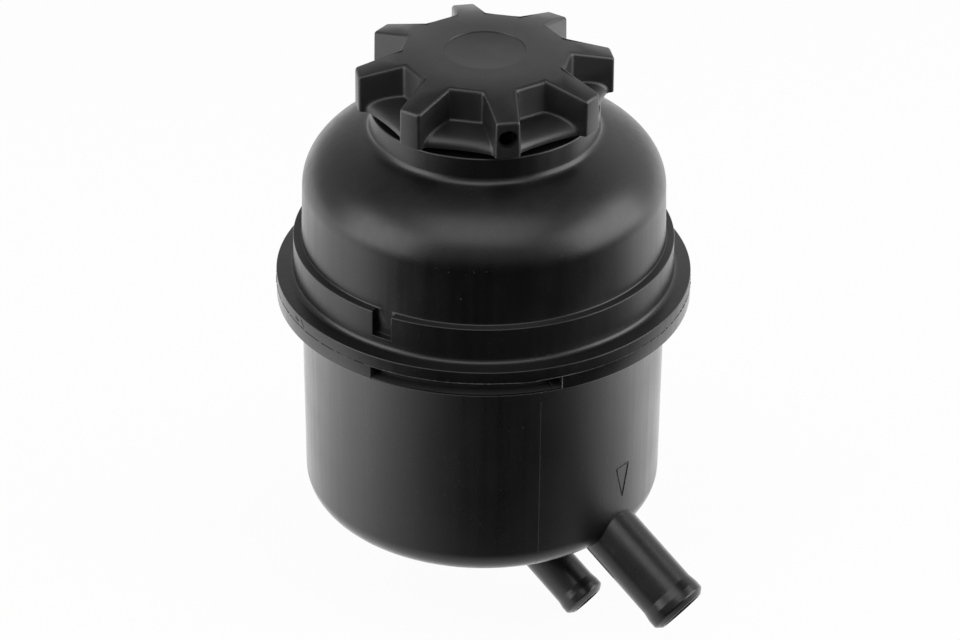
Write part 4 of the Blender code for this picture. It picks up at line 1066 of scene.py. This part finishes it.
def main():
    make_camera()
    tank_black = plastic("moulded_tank", (0.0022, 0.0022, 0.0023), dust=(0.007, 0.007, 0.0072),
                         roughness=0.30, spread=0.03, grain=1400.0, depth=0.00003, haze=0.25, streak=0.02)
    shell_black = plastic("moulded_shell", (0.0020, 0.0020, 0.0021), dust=(0.006, 0.006, 0.0062),
                          roughness=0.36, spread=0.03, grain=1400.0, depth=0.00003, haze=0.25, streak=0.02)
    # Light grey, painted highlight: the weld flash, and the lines up the window's end and along the
    # notch's edges
    highlight_paint = plastic("flash_painted_highlight", (0.02, 0.02, 0.0205), dust=(0.12, 0.12, 0.122),
                          roughness=0.45, spread=0.08, grain=2500.0, depth=0.00003, haze=0.8)
    # Lighter black, painted light in shade: the window's back wall and ends, and the collar's top ledge
    shade_light_paint = plastic("painted_light_in_shade", (0.006, 0.006, 0.0062), dust=(0.012, 0.012, 0.0122),
                          roughness=0.50, spread=0.05, grain=1400.0, depth=0.00003)
    # Lighter copy of the tank's black: painted light on the window's ledge and ribs, and painted
    # highlights along the parting line and the window's lip
    ledge_light_paint = plastic("painted_light_ledge", (0.018, 0.018, 0.0185), dust=(0.03, 0.03, 0.03),
                    roughness=0.55, spread=0.05, grain=1800.0, depth=0.00003)
    # Near-black without shine: painted shade in the open seam and the chips
    gap_shade_paint = plastic("painted_seam_shadow", (0.0004, 0.0004, 0.0004), dust=(0.001, 0.001, 0.001),
                        roughness=0.85, spread=0.05, grain=1400.0, depth=0.00001, haze=0.1, specular=0.1)
    cap_black = plastic("moulded_cap", (0.007, 0.007, 0.0072), dust=(0.022, 0.022, 0.0225),
                        roughness=0.40, spread=0.05, grain=2600.0, depth=0.000025)
    seal = plastic("seal_rubber", (0.012, 0.012, 0.012), dust=(0.03, 0.03, 0.03),
                   roughness=0.70, spread=0.06, grain=3000.0, depth=0.00002)
    nylon = plastic("natural_nylon", (0.70, 0.68, 0.60), dust=(0.62, 0.59, 0.50),
                    roughness=0.42, spread=0.06, grain=1200.0, depth=0.00001)
    screen = woven("filter_screen", (0.80, 0.79, 0.74), roughness=0.6, pitch=0.0004)
    steel = drawn_wire("spring_steel", (0.55, 0.55, 0.56), roughness=0.28)

    make_upper_shell(shell_black, shade_light_paint)
    make_lower_bowl(tank_black, ledge_light_paint, shade_light_paint)
    make_bowl_marks(tank_black, ledge_light_paint)
    make_window_marks(highlight_paint, ledge_light_paint)
    make_notch_marks(highlight_paint)
    make_seam_marks(gap_shade_paint)
    make_weld_flash(highlight_paint)
    make_filler_cap(cap_black)
    finishes = {"cap_gasket": seal, "filter_grommet": seal, "cap_insert": nylon, "dipstick": nylon,
                "baffle_plate": nylon, "filter_cage": nylon, "filter_top_plate": nylon,
                "filter_mesh": screen}
    for node, finish in finishes.items():
        paint(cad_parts[node], finish)

    make_spring(steel)
    make_world()
    make_floor(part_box("lower_bowl")[0][2] - FLOOR_GAP)
    for lamp in SOFTBOXES:
        softbox(*lamp)
    bpy.context.scene.view_settings.view_transform = "Standard"

    bpy.context.view_layer.update()


main()
